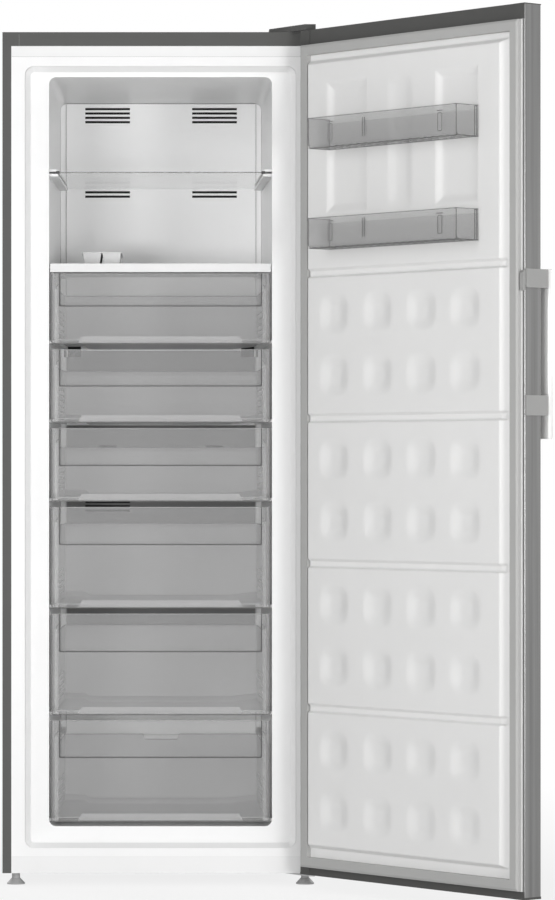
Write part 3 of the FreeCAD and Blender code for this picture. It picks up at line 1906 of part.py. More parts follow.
neck_room = block(
    "HandleNeckRoom",
    (bar_middle - neck_half - dim.overcut, bar_middle + neck_half + dim.overcut),
    (bracket_face - dim.overcut, bracket_face + dim.handle_neck_reach + dim.overcut),
    (
        neck_z - dim.handle_neck_height / 2 - dim.handle_neck_gap,
        neck_z + dim.handle_neck_height / 2 + dim.handle_neck_gap,
    ),
)
pusher_low = neck_z - dim.pusher_height / 2
pusher_high = neck_z + dim.pusher_height / 2
pusher_right = -half_width - dim.seat_gap
pusher_left = pusher_right - dim.pusher_wall
pusher_room = block(
    "PusherRoom",
    (pusher_left - dim.seat_gap, -half_width + dim.overcut),
    (door_inner - dim.pusher_reach - dim.overcut, door_inner + dim.overcut),
    (pusher_low - dim.seat_gap, pusher_high + dim.seat_gap),
)
lug_room = block(
    "HandleLugRoom",
    (bar_middle - lug_half - dim.handle_slot_gap, bar_middle + lug_half + dim.handle_slot_gap),
    (bracket_face - dim.overcut, pivot_y + 2 * dim.handle_pin_radius + dim.overcut),
    (
        pivot_z - dim.handle_lug_height / 2 - dim.handle_slot_extra,
        pivot_z + dim.handle_lug_height / 2 + dim.handle_slot_extra,
    ),
)
upper_bracket = bracket(
    "UpperBracket", upper_low, upper_top, [neck_room, pusher_room, *screws[:2], *screw_sinks[:2]]
)
lower_bracket = bracket(
    "LowerBracket", lower_low, lower_top, [lug_room, pivot_pin, *screws[2:], *screw_sinks[2:]]
)
on_door(upper_bracket, "handle_bracket_upper")
on_door(lower_bracket, "handle_bracket_lower")

pusher_leg = block(
    "PusherLeg",
    (pusher_left, pusher_right),
    (door_inner - dim.pusher_reach, door_inner + dim.pusher_gap + dim.overcut),
    (pusher_low, pusher_high),
)
pad_front = door_inner + dim.pusher_gap
pad_low = pusher_high + 2 - dim.pusher_pad_height
pad_high = pusher_high + 2
pad_right = pusher_left + dim.pusher_pad_width
pad_outline = [
    (pad_front, pad_low),
    (pad_front + dim.pusher_pad, pad_low),
    (pad_front + dim.pusher_pad, pad_high - dim.pusher_chamfer),
    (pad_front + dim.pusher_pad - dim.pusher_chamfer, pad_high),
    (pad_front, pad_high),
]
pusher_pad = extruded(
    "PusherPad", pad_outline, pusher_left, pad_right - pusher_left, "YZ_Plane"
)
on_door(fuse("OpeningPusher", pusher_leg, pusher_pad), "opening_pusher")

# ---- hinges ----------------------------------------------------------------------------------


def hinge_plate_outline(depth):
    """Plan of a hinge plate: a mounting pad with a nose that carries the pin."""
    return [
        (hinge_plate_left, depth),
        (hinge_plate_left, dim.hinge_plate_shoulder),
        (hinge_x - dim.hinge_nose, hinge_plate_front),
        (hinge_plate_right, hinge_plate_front),
        (hinge_plate_right, depth),
    ]


upper_pin_low = cabinet_top - dim.hinge_pin_length
upper_pin = rod(
    "UpperHingePin",
    dim.hinge_pin_radius,
    (hinge_x, hinge_y, upper_pin_low),
    UP,
    plate_top - upper_pin_low,
)
lower_plate_low = cabinet_bottom - dim.hinge_plate
lower_pin = rod(
    "LowerHingePin",
    dim.hinge_pin_radius,
    (hinge_x, hinge_y, lower_plate_low),
    UP,
    dim.hinge_plate + dim.hinge_pin_length,
)
upper_plate = extruded(
    "UpperHingePlateSheet", hinge_plate_outline(dim.hinge_plate_depth), cabinet_top, dim.hinge_plate
)
lower_plate = extruded(
    "LowerHingePlateSheet",
    hinge_plate_outline(dim.hinge_plate_depth * dim.lower_plate_share),
    lower_plate_low,
    dim.hinge_plate,
)
plate_hole = foot_hole("PlateFootHole", 1, lower_plate_low - dim.overcut, cabinet_bottom + dim.overcut)
piece(cut("UpperHingePlate", upper_plate, upper_pin, hinge_screws), "hinge_plate_upper")
piece(cut("LowerHingePlate", lower_plate, lower_pin, plate_hole), "hinge_plate_lower")
piece(group("HingePins", upper_pin, lower_pin), "hinge_pins")


def hinge_cover():
    """A shallow cap over the upper hinge, open underneath."""
    right = half_width - dim.hinge_cover_side_inset
    left = right - dim.hinge_cover_width
    front = -dim.hinge_cover_front
    nose = right - dim.hinge_cover_nose
    corners = [
        point(left, dim.hinge_cover_depth, cabinet_top),
        point(left, dim.hinge_cover_shoulder, cabinet_top),
        point(nose, front, cabinet_top),
        point(right, front, cabinet_top),
        point(right, dim.hinge_cover_depth, cabinet_top),
    ]
    face = Part.Face(Part.makePolygon(corners + corners[:1]))
    wall = float(dim.hinge_cover_wall)
    height = float(dim.hinge_cover_height)
    outside = face.extrude(Vector(0, 0, height))
    inside = face.makeOffset2D(-wall).extrude(Vector(0, 0, height - wall))
    return outside.cut(inside)


piece(shaped("HingeCover", hinge_cover()), "hinge_cover")

on_door(group("HandleFasteners", screw_set, pivot_pin), "handle_fasteners")

# ---- test and export -------------------------------------------------------------------------

doc.recompute()
faults = [
    item.Name for item in doc.Objects if "Invalid" in item.State or "Error" in item.State
]
for node, feature in pieces.items():
    shape = feature.Shape
    if shape.isNull() or not shape.isValid() or not shape.Solids:
        faults.append(node)
if faults:
    raise RuntimeError("not built: " + ", ".join(faults))

os.makedirs("parts", exist_ok=True)
for node, feature in pieces.items():
    feature.Shape.exportStep(os.path.join("parts", node + ".step"))
print(len(pieces), "sub-parts")
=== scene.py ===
import json
import math

import bpy
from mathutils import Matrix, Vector


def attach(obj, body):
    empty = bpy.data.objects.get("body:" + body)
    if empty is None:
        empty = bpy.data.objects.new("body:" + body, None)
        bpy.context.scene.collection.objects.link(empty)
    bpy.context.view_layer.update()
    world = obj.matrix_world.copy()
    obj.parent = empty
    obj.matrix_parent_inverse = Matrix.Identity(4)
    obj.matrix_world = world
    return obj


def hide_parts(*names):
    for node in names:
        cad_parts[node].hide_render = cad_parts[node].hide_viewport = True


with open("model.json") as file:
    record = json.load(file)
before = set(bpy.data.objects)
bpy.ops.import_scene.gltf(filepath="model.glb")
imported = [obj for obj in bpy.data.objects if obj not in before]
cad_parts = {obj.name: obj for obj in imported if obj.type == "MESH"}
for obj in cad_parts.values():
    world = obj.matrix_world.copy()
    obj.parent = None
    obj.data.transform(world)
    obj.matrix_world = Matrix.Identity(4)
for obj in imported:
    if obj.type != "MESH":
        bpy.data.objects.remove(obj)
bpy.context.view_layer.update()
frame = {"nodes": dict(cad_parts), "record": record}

nodes = frame["nodes"]

# Shapes are given in millimetres; lamps, the floor and the camera in metres.
MM = 0.001

# ---- the door's own coordinates ---------------------------------------------------------------
# s runs from the door's hinge edge to its free edge, t outwards from its inner face.
HINGE_X, HINGE_Y = 334.2, -34.0
OPEN_ANGLE = math.radians(129.7)
DOOR_EDGE_X, DOOR_FACE_Y = 350.0, -13.0


def on_door(s, t, z):
    """The place in the frame of a point on the open door."""
    dx = DOOR_EDGE_X - s - HINGE_X
    dy = DOOR_FACE_Y - t - HINGE_Y
    cosine, sine = math.cos(OPEN_ANGLE), math.sin(OPEN_ANGLE)
    return HINGE_X + dx * cosine - dy * sine, HINGE_Y + dx * sine + dy * cosine, z


# ---- materials --------------------------------------------------------------------------------
NOISE_RANGE = (0.3, 0.7)
NOISE_DETAIL, GRAIN_DETAIL = 4.0, 2.0
GRAIN_DEPTH = 0.0004


def srgb(value):
    """The linear value of a grey level between 0 and 255."""
    v = value / 255
    return v / 12.92 if v <= 0.04045 else ((v + 0.055) / 1.055) ** 2.4


def material(
    name,
    grey,
    rough,
    tint=(1.0, 1.0, 1.0),
    metallic=0.0,
    alpha=1.0,
    spread=0.03,
    scale=(6.0, 6.0, 6.0),
    grain=0.0,
    grain_scale=900.0,
    rough_spread=0.05,
    specular=0.5,
    coat=0.0,
    anisotropic=0.0,
):
    """A plastic or metal whose colour, gloss and surface vary a little.

    They vary with noise over the object's own coordinates.
    """
    m = bpy.data.materials.new(name)
    m.use_nodes = True
    tree = m.node_tree
    shader = tree.nodes["Principled BSDF"]
    link = tree.links.new
    place = tree.nodes.new("ShaderNodeTexCoord")
    stretch = tree.nodes.new("ShaderNodeMapping")
    stretch.inputs["Scale"].default_value = scale
    link(place.outputs["Object"], stretch.inputs["Vector"])
    noise = tree.nodes.new("ShaderNodeTexNoise")
    noise.inputs["Scale"].default_value = 1.0
    noise.inputs["Detail"].default_value = NOISE_DETAIL
    link(stretch.outputs["Vector"], noise.inputs["Vector"])
    ramp = tree.nodes.new("ShaderNodeValToRGB")
    level = srgb(grey)
    for end, position, share in zip(ramp.color_ramp.elements, NOISE_RANGE, (1 - spread, 1 + spread)):
        end.color = (*(min(1.0, level * share * t) for t in tint), 1)
        end.position = position
    link(noise.outputs["Fac"], ramp.inputs["Fac"])
    link(ramp.outputs["Color"], shader.inputs["Base Color"])
    gloss = tree.nodes.new("ShaderNodeMapRange")
    gloss.inputs["To Min"].default_value = max(0.0, rough - rough_spread)
    gloss.inputs["To Max"].default_value = min(1.0, rough + rough_spread)
    link(noise.outputs["Fac"], gloss.inputs["Value"])
    link(gloss.outputs["Result"], shader.inputs["Roughness"])
    if grain:
        fine = tree.nodes.new("ShaderNodeTexNoise")
        fine.inputs["Scale"].default_value = grain_scale
        fine.inputs["Detail"].default_value = GRAIN_DETAIL
        wide = tree.nodes.new("ShaderNodeMapping")
        wide.inputs["Scale"].default_value = tuple(c / max(scale) for c in scale)
        link(place.outputs["Object"], wide.inputs["Vector"])
        link(wide.outputs["Vector"], fine.inputs["Vector"])
        bump = tree.nodes.new("ShaderNodeBump")
        bump.inputs["Strength"].default_value = grain
        bump.inputs["Distance"].default_value = GRAIN_DEPTH
        link(fine.outputs["Fac"], bump.inputs["Height"])
        link(bump.outputs["Normal"], shader.inputs["Normal"])
    shader.inputs["Metallic"].default_value = metallic
    shader.inputs["Alpha"].default_value = alpha
    shader.inputs["Specular IOR Level"].default_value = specular
    shader.inputs["Coat Weight"].default_value = coat
    shader.inputs["Anisotropic"].default_value = anisotropic
    return m


# noise that is long along z draws brush marks
UPRIGHT = (90.0, 90.0, 1.2)
SPECKS, FLAKES, FINE_FLAKES = (25, 25, 25), (30, 30, 30), (40, 40, 40)
DUSTY, COOL = (1, 1, 0.97), (0.98, 1, 1.02)
LOOKS = {
    "trim_grey": dict(grey=82, rough=0.55, tint=DUSTY, grain=0.12, specular=0.2),
    "side_paint": dict(grey=82, rough=0.5, tint=DUSTY, grain=0.05, specular=0.2),
    "white_gloss": dict(grey=226, rough=0.22, coat=0.3, spread=0.01),
    "liner_white": dict(grey=229, rough=0.34, spread=0.012, grain=0.02, grain_scale=120),
    "duct_white": dict(grey=250, rough=0.4, spread=0.012, grain=0.04, grain_scale=300),
    "galvanised": dict(grey=176, rough=0.45, tint=COOL, metallic=0.85, scale=FINE_FLAKES, spread=0.16),
    "foam": dict(grey=226, rough=0.9, tint=(1, 0.95, 0.8), grain=0.5, grain_scale=260),
    "aluminium_fins": dict(grey=205, rough=0.35, metallic=0.9, spread=0.08),
    "copper_coil": dict(grey=42, rough=0.45, spread=0.1, grain=0.1),
    "motor_grey": dict(grey=128, rough=0.5, tint=COOL, grain=0.1),
    "fan_white": dict(grey=218, rough=0.45, grain=0.06),
    "compressor_black": dict(grey=34, rough=0.35, spread=0.15, grain=0.15, coat=0.3),
    "rubber_black": dict(grey=36, rough=0.8, grain=0.25, spread=0.1),
    "black_plastic": dict(grey=44, rough=0.5, grain=0.15, spread=0.1),
    "hinge_steel": dict(grey=170, rough=0.35, metallic=0.9, spread=0.08, scale=FLAKES),
    "shelf_glass": dict(
        grey=214, rough=0.06, tint=(0.95, 1, 0.98), alpha=0.1, spread=0.02, rough_spread=0.02, specular=0.8
    ),
    "shelf_white": dict(grey=214, rough=0.5, spread=0.01),
    "clear_drawer": dict(grey=186, rough=0.3, alpha=0.22, spread=0.03, rough_spread=0.04, specular=0.8),
    "clear_tub": dict(grey=240, rough=0.3, alpha=0.36, spread=0.02, rough_spread=0.04),
    "clear_post": dict(grey=215, rough=0.2, alpha=0.3, spread=0.02, rough_spread=0.04),
    "clear_bin": dict(grey=146, rough=0.12, alpha=0.23, spread=0.05, rough_spread=0.04, specular=0.8),
    # painted shade: clear plastic's edges and lines, darker as the plastic looks seen along its length
    "clear_edge_painted_shade": dict(grey=78, rough=0.3, alpha=0.85, spread=0.12, scale=SPECKS, specular=0.8),
    "clear_line_painted_shade": dict(grey=110, rough=0.3, alpha=0.5, spread=0.12, scale=SPECKS, specular=0.8),
    "steel_door": dict(
        grey=124, rough=0.36, tint=(1, 1, 0.99), metallic=0.85, spread=0.16, scale=UPRIGHT, grain=0.25,
        grain_scale=240, anisotropic=0.5,
    ),
    "cap_grey": dict(grey=74, rough=0.55, tint=DUSTY, grain=0.12, specular=0.2),
    "gasket_grey": dict(grey=168, rough=0.62, tint=(1, 1, 0.985), grain=0.06, grain_scale=300, spread=0.02),
    "door_liner_white": dict(
        grey=224, rough=0.36, tint=(1, 0.998, 0.992), spread=0.01, grain=0.02, grain_scale=120
    ),
    "handle_metal": dict(
        grey=244, rough=0.3, tint=(1, 1, 0.99), metallic=0.35, spread=0.04, scale=UPRIGHT, grain=0.15,
        grain_scale=240, anisotropic=0.5,
    ),
    "bracket_grey": dict(grey=152, rough=0.38, tint=(1, 1, 0.985), metallic=0.35, spread=0.04, grain=0.08),
    "foot_grey": dict(grey=158, rough=0.5, grain=0.1),
    "dark_gap": dict(grey=36, rough=0.8, spread=0.1),
    "clear_thin": dict(grey=170, rough=0.2, alpha=0.06),
    "seam_grey": dict(grey=150, rough=0.7, spread=0.05),
    # painted shade: the darker bands where the drawers shade the duct cover
    "duct_painted_shade": dict(grey=128, rough=0.6, spread=0.03),
}
FINISH = {name: material(name, **look) for name, look in LOOKS.items()}

for part in frame["record"]["subparts"]:
    for name in (part["node"], *part.get("nodes", ())):
        if name in nodes:
            mesh = nodes[name].data
            mesh.materials.clear()
            mesh.materials.append(FINISH[part["material_slot"]])

# the pusher has the brackets' lighter grey, not its slot's trim grey
nodes["opening_pusher"].data.materials[0] = FINISH["bracket_grey"]


# ---- mesh code --------------------------------------------------------------------------------
class Shape:
    """Closed solids, gathered in millimetres, that become one object."""

    SECTION_POINTS = 8

    def __init__(self, *finishes):
        self.points, self.faces, self.marks = [], [], []
        self.finishes = finishes

    def panel(self, us, vs, place, front, back, finish=0, hole=None):
        """A sheet over the grid us by vs between two surfaces, closed round its rim and its holes."""
        first = len(self.points)
        rows, columns = len(us), len(vs)
        for surface in (front, back):
            for u in us:
                self.points += [place(u, v, surface(u, v)) for v in vs]

        def at(i, j, layer):
            return first + layer * rows * columns + i * columns + j

        def is_kept(i, j):
            if not (0 <= i < rows - 1 and 0 <= j < columns - 1):
                return False
            return not (hole and hole((us[i] + us[i + 1]) / 2, (vs[j] + vs[j + 1]) / 2))

        for i in range(rows - 1):
            for j in range(columns - 1):
                if not is_kept(i, j):
                    continue
                ring = ((i, j), (i + 1, j), (i + 1, j + 1), (i, j + 1))
                self.faces.append(tuple(at(a, b, 0) for a, b in ring))
                self.faces.append(tuple(at(a, b, 1) for a, b in reversed(ring)))
                self.marks += [finish, finish]
                for k, neighbour in enumerate(((i, j - 1), (i + 1, j), (i, j + 1), (i - 1, j))):
                    if not is_kept(*neighbour):
                        a, b = ring[k], ring[(k + 1) % 4]
                        self.faces.append((at(*b, 0), at(*a, 0), at(*a, 1), at(*b, 1)))
                        self.marks.append(finish)

    def sweep(self, path, width, depth, finish=0, side=(0, 1, 0), closed=False):
        """A bar of oval section along a path of points; side is roughly across its depth."""
        path = [Vector(p) for p in path]
        count, first, around = len(path), len(self.points), self.SECTION_POINTS
        for i, p in enumerate(path):
            before = path[i - 1] if closed or i else p
            after = path[(i + 1) % count] if closed or i < count - 1 else p
            along = (after - before).normalized()
            across = along.cross(Vector(side))
            if across.length < 1e-3:
                across = along.cross(Vector((0.3, 0.2, 1)))
            across.normalize()
            over = across.cross(along).normalized()
            for k in range(around):
                a = 2 * math.pi * (k + 0.5) / around
                sideways = across * (math.cos(a) * width / 2)
                upwards = over * (math.sin(a) * depth / 2)
                self.points.append(tuple(p + sideways + upwards))
        for i in range(count if closed else count - 1):
            here = first + i * around
            there = first + (i + 1) % count * around
            for k in range(around):
                n = (k + 1) % around
                self.faces.append((here + k, here + n, there + n, there + k))
                self.marks.append(finish)
        if not closed:
            last = first + (count - 1) * around
            self.faces.append(tuple(first + k for k in reversed(range(around))))
            self.faces.append(tuple(last + k for k in range(around)))
            self.marks += [finish, finish]

    def block(self, lo, hi, finish=0, place=None):
        """A box between two corners."""
        place = place or (lambda *p: p)
        first = len(self.points)
        for x in (lo[0], hi[0]):
            for y in (lo[1], hi[1]):
                for z in (lo[2], hi[2]):
                    self.points.append(place(x, y, z))
        rings = ((0, 1, 3, 2), (4, 6, 7, 5), (0, 4, 5, 1), (2, 3, 7, 6), (0, 2, 6, 4), (1, 5, 7, 3))
        for ring in rings:
            self.faces.append(tuple(first + k for k in ring))
            self.marks.append(finish)

    def make(self, name, body, slot, replaced=(), sharp=35):
        """Turn what was gathered into an object; edges of more than sharp degrees stay crisp."""
        mesh = bpy.data.meshes.new(name)
        mesh.from_pydata([tuple(c * MM for c in p) for p in self.points], [], self.faces)
        for finish in self.finishes:
            mesh.materials.append(FINISH[finish])
        mesh.polygons.foreach_set("material_index", self.marks)
        mesh.shade_smooth()
        mesh.set_sharp_from_angle(angle=math.radians(sharp))
        made = bpy.data.objects.new(name, mesh)
        bpy.context.scene.collection.objects.link(made)
        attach(made, body)
        if replaced:
            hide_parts(*replaced)


def slope(value, start, end):
    """0 before start, 1 after end, and a straight rise between them."""
    return min(1.0, max(0.0, (value - start) / (end - start)))


def ramp(value, start, end):
    """0 before start, 1 after end, and a smooth rise between them."""
    share = slope(value, start, end)
    return share * share * (3 - 2 * share)


LEAST_GAP = 0.05


def lines(low, high, step, *around):
    """Grid lines from low to high, at most step apart.

    They lie closer round the places of interest, each given as (place, reach, fine step).
    """
    count = max(1, math.ceil((high - low) / step))
    found = {low, high} | {low + (high - low) * k / count for k in range(1, count)}
    for middle, reach, fine in around:
        found = {f for f in found if abs(f - middle) > reach + fine * 0.4 or f in (low, high)}
        n = max(1, round(2 * reach / fine))
        close = [middle - reach + 2 * reach * k / n for k in range(n + 1)]
        found |= {f for f in close if low < f < high}
    kept = []
    for f in sorted(found):
        if not kept or f - kept[-1] > LEAST_GAP:
            kept.append(f)
    return kept


CORNER_STEPS = 6


def quarter(cx, cz, radius, start, y):
    """A quarter circle round (cx, cz) in the plane of y, from the angle start in degrees."""
    angles = [math.radians(start + 90 * k / CORNER_STEPS) for k in range(CORNER_STEPS + 1)]
    return [(cx + radius * math.cos(a), y, cz + radius * math.sin(a)) for a in angles]


# ---- door liner -------------------------------------------------------------------------------
# a pair of numbers for ramp() or slope() says where a flank starts and where it is full
LINER_S = (6.2, 693.8)
LINER_Z = (45.2, 1853.8)
LINER_WALL, LINER_BACK, LINER_LEAST = 2.2, -1.6, 0.6
LINER_STEP_S, LINER_STEP_Z = 9.0, 12.0

PLUG_HEIGHT = 12.0
PLUG_HINGE_FLANK = (34.0, 40.0)
PLUG_FREE_FLANK, PLUG_FREE_TOE, TOE_SHARE = (657.0, 637.0), (666.0, 655.0), 0.1
PLUG_Z = (96.0, 1810.0)
PLUG_END_OUT, PLUG_END_IN = 9.0, 3.0

GROOVES = (397.0, 714.7, 1032.4, 1350.1)
GROOVE_REACH, GROOVE_DEPTH = 12.0, 7.0
GROOVE_UPPER_FLANK, GROOVE_LOWER_FLANK = (11.0, 3.5), (-10.5, -6.0)
GROOVE_FREE_END = (656.0, 646.0)

DIMPLE_S = (124.6, 264.2, 400.4, 534.8)
DIMPLE_Z = [1260.0 - 317.7 * k - 135.0 * r for k in range(4) for r in range(2)]
DIMPLE_HALF, DIMPLE_DEPTH = (50.0, 47.0), 5.5
DIMPLE_FLANK = (0.25, 1.0)

NICHES = ((96.9, 229.0), (440.5, 572.8))
NICHE_Z = (1477.0, 1769.0)
NICHE_DEPTH, NICHE_HINGE_WALL, NICHE_FREE_WALL, NICHE_END_WALL = 7.0, 26.0, 5.0, 24.0

HOLLOW_MIDDLE, HOLLOW_DEPTH = (335.0, 1620.0), 4.0
HOLLOW_FLANK_S, HOLLOW_FLANK_Z = (42.0, 10.0), (150.0, 110.0)


def plug_share(s, z):
    """0 outside the liner's raised plug, 1 on it."""
    free_side = (1 - TOE_SHARE) * slope(s, *PLUG_FREE_FLANK) + TOE_SHARE * slope(s, *PLUG_FREE_TOE)
    return min(
        ramp(s, *PLUG_HINGE_FLANK),
        free_side,
        ramp(z, PLUG_Z[0] - PLUG_END_OUT, PLUG_Z[0] + PLUG_END_IN),
        ramp(z, PLUG_Z[1] + PLUG_END_OUT, PLUG_Z[1] - PLUG_END_IN),
    )


def groove_depth(s, z):
    """The grooves across the plug."""
    for groove in GROOVES:
        rise = z - groove
        if abs(rise) < GROOVE_REACH:
            flank = min(ramp(rise, *GROOVE_UPPER_FLANK), slope(rise, *GROOVE_LOWER_FLANK))
            return GROOVE_DEPTH * flank * min(ramp(s, *PLUG_HINGE_FLANK), ramp(s, *GROOVE_FREE_END))
    return 0.0


def dimple_depth(s, z):
    """The soft hollows, four side by side in eight rows."""
    depth = 0.0
    for s0 in DIMPLE_S:
        across = abs(s - s0) / DIMPLE_HALF[0]
        if across > 1:
            continue
        for z0 in DIMPLE_Z:
            up = abs(z - z0) / DIMPLE_HALF[1]
            if up < 1:
                reach = (across**3 + up**3) ** (1 / 3)
                depth += DIMPLE_DEPTH * (1 - ramp(reach, *DIMPLE_FLANK))
    return depth


def niche_depth(s, z):
    """The two tall niches behind the door bins, and the shallower hollow between them."""
    ends = min(ramp(NICHE_Z[1] - z, 0.0, NICHE_END_WALL), ramp(z - NICHE_Z[0], 0.0, NICHE_END_WALL))
    depth = 0.0
    for left, right in NICHES:
        sides = min(ramp(s - left, 0.0, NICHE_HINGE_WALL), ramp(right - s, 0.0, NICHE_FREE_WALL))
        depth += NICHE_DEPTH * min(sides, ends)
    across = ramp(abs(s - HOLLOW_MIDDLE[0]), *HOLLOW_FLANK_S)
    return depth + HOLLOW_DEPTH * across * ramp(abs(z - HOLLOW_MIDDLE[1]), *HOLLOW_FLANK_Z)


def liner_height(s, z):
    """How far the door liner stands out from the door's inner face."""
    height = PLUG_HEIGHT * plug_share(s, z)
    return max(LINER_LEAST, height - groove_depth(s, z) - dimple_depth(s, z) - niche_depth(s, z))


def door_liner():
    """The door's inner panel, with closer grid lines along each of its flanks."""
    shape = Shape("door_liner_white")
    s_lines = lines(
        *LINER_S, LINER_STEP_S,
        (37.0, 4.0, 1.2), (651.0, 15.0, 1.5),
        *[(s0, 52.0, 5.2) for s0 in DIMPLE_S],
        (108.0, 12.0, 2.0), (226.5, 4.0, 1.0), (451.0, 12.0, 2.0), (570.3, 4.0, 1.0),
    )
    z_lines = lines(
        *LINER_Z, LINER_STEP_Z,
        (PLUG_Z[0] - 3, 7.0, 1.75), (PLUG_Z[1] + 3, 7.0, 1.75),
        *[(z0, 49.0, 5.0) for z0 in DIMPLE_Z],
        *[(groove, 12.0, 1.5) for groove in GROOVES],
        (NICHE_Z[0] + 12, 13.0, 2.6), (NICHE_Z[1] - 12, 13.0, 2.6),
    )
    shape.panel(
        z_lines, s_lines,
        lambda z, s, height: on_door(s, -height, z),
        lambda z, s: liner_height(s, z),
        lambda z, s: max(LINER_BACK, liner_height(s, z) - LINER_WALL),
    )
    shape.make("door_inner_panel", "door", "door_liner_white", ("door_liner",), sharp=60)


door_liner()


# ---- drawers ----------------------------------------------------------------------------------
# bottom and top of each front, the grip's lower edge, and how far the tub's back wall stops below
# the top
DRAWERS = (
    (1199.0, 1355.6, 1283.0, 31.0),
    (1024.0, 1187.0, 1105.4, 38.0),
    (849.0, 1012.0, 929.0, 41.0),
    (612.0, 837.0, 753.4, 43.0),
    (375.0, 600.0, 515.5, 43.0),
    (138.0, 363.0, 280.7, 61.0),
)
LOWEST = len(DRAWERS)
FRONT_HALF = 243.0
FRONT_Y, FRONT_BACK = 23.0, 36.0
FRONT_WALL, FRONT_RIM = 2.6, 2.2
LIP_WIDTH, LIP_DEPTH = 2.5, 1.2
GRIP_HALF, GRIP_RADIUS, GRIP_DEPTH = 225.0, 5.0, 7.5
POST, POST_MIDDLE = (226.5, 235.5), 231.5
NOTCH_DROP = 34.0

TUB_FRONT, TUB_BACK = 31.0, 488.0
TUB_FRONT_HALF, TUB_BACK_HALF = 236.0, 225.6
TUB_WALL, RIM_WIDTH = 2.3, 2.4
TUB_TOP_DROP = 3.0
TUB_FALL = (40.0, 80.0)
STEP_HALF, STEP_DROP, STEP_LIP = 180.0, 8.0, 17.0
BACK_RISE, BACK_RISE_LENGTH = 14.0, 26.0
VENT_Y = (170.0, 425.0)
VENT_START, VENT_PITCH, VENT_HEIGHT, VENTS = 24.0, 13.0, 5.0, 5
FINGER_HALF, FINGER_DROP = 40.0, 12.0


def u_line(half, low, top, radius, y):
    """A line down one side, round two corners and up the other side."""
    return [
        (-half, y, top),
        *quarter(-half + radius, low + radius, radius, 180, y),
        *quarter(half - radius, low + radius, radius, 270, y),
        (half, y, top),
    ]


def drawer_front(number, low, high, grip_low):
    """A clear front with a sunk grip, its moulded edges, and a post at each side."""
    shape = Shape("clear_drawer", "clear_edge_painted_shade", "clear_line_painted_shade", "clear_post")

    def sunk(x, z):
        return slope(max(abs(x) - GRIP_HALF, grip_low - z), 0.6, -2.0)

    def front(x, z):
        lip = LIP_DEPTH * slope(min(FRONT_HALF - abs(x), z - low), LIP_WIDTH, 0.0)
        return FRONT_Y + lip + GRIP_DEPTH * sunk(x, z)

    def back(x, z):
        rim = min(FRONT_HALF - abs(x), z - low)
        return FRONT_BACK - 0.5 if rim < FRONT_RIM else front(x, z) + FRONT_WALL

    shape.panel(
        lines(
            -FRONT_HALF, FRONT_HALF, 40.0,
            (-241.8, 1.2, 1.2), (241.8, 1.2, 1.2), (-224.5, 3, 1.0), (224.5, 3, 1.0),
        ),
        lines(low, high, 30.0, (low + 1.2, 1.2, 1.2), (grip_low, 3, 1.0)),
        lambda x, z, y: (x, y, z),
        front,
        back,
    )
    # moulded edges in painted shade, dark as the plastic looks where the eye runs along it
    shape.sweep(u_line(FRONT_HALF - 1.5, low + 1.4, high - 0.6, 4.0, FRONT_Y + 3), 2.8, 5.0, 1)
    grip_edge = u_line(GRIP_HALF - 0.6, grip_low, high - 0.8, GRIP_RADIUS, FRONT_Y + 1.8)
    shape.sweep(grip_edge, 2.4, 2.4, 1)
    bar_y = FRONT_Y + 9
    shape.sweep([(-GRIP_HALF, bar_y, high - 1.0), (GRIP_HALF, bar_y, high - 1.0)], 2.0, 3.0, 3)
    edge_y = FRONT_Y + 8
    notch = high - NOTCH_DROP
    for side in (-1, 1):
        inner, outer, middle = (side * x for x in (*POST, POST_MIDDLE))
        near, far = sorted((inner, outer))
        shape.block((near, FRONT_Y + 5, low + 4), (far, FRONT_Y + 7, notch), 3)
        shape.sweep([(outer, edge_y, high - 2), (outer, edge_y, low + 4)], 1.6, 4.0, 1)
        hook = [(inner, edge_y, notch + 10), (middle, edge_y, notch + 5), (middle, edge_y, notch)]
        shape.sweep(hook, 1.8, 4.0, 1)
    shape.make(f"drawer_front_{number}", f"drawer_{number}", "clear_drawer", (f"drawer_{number}_front",))


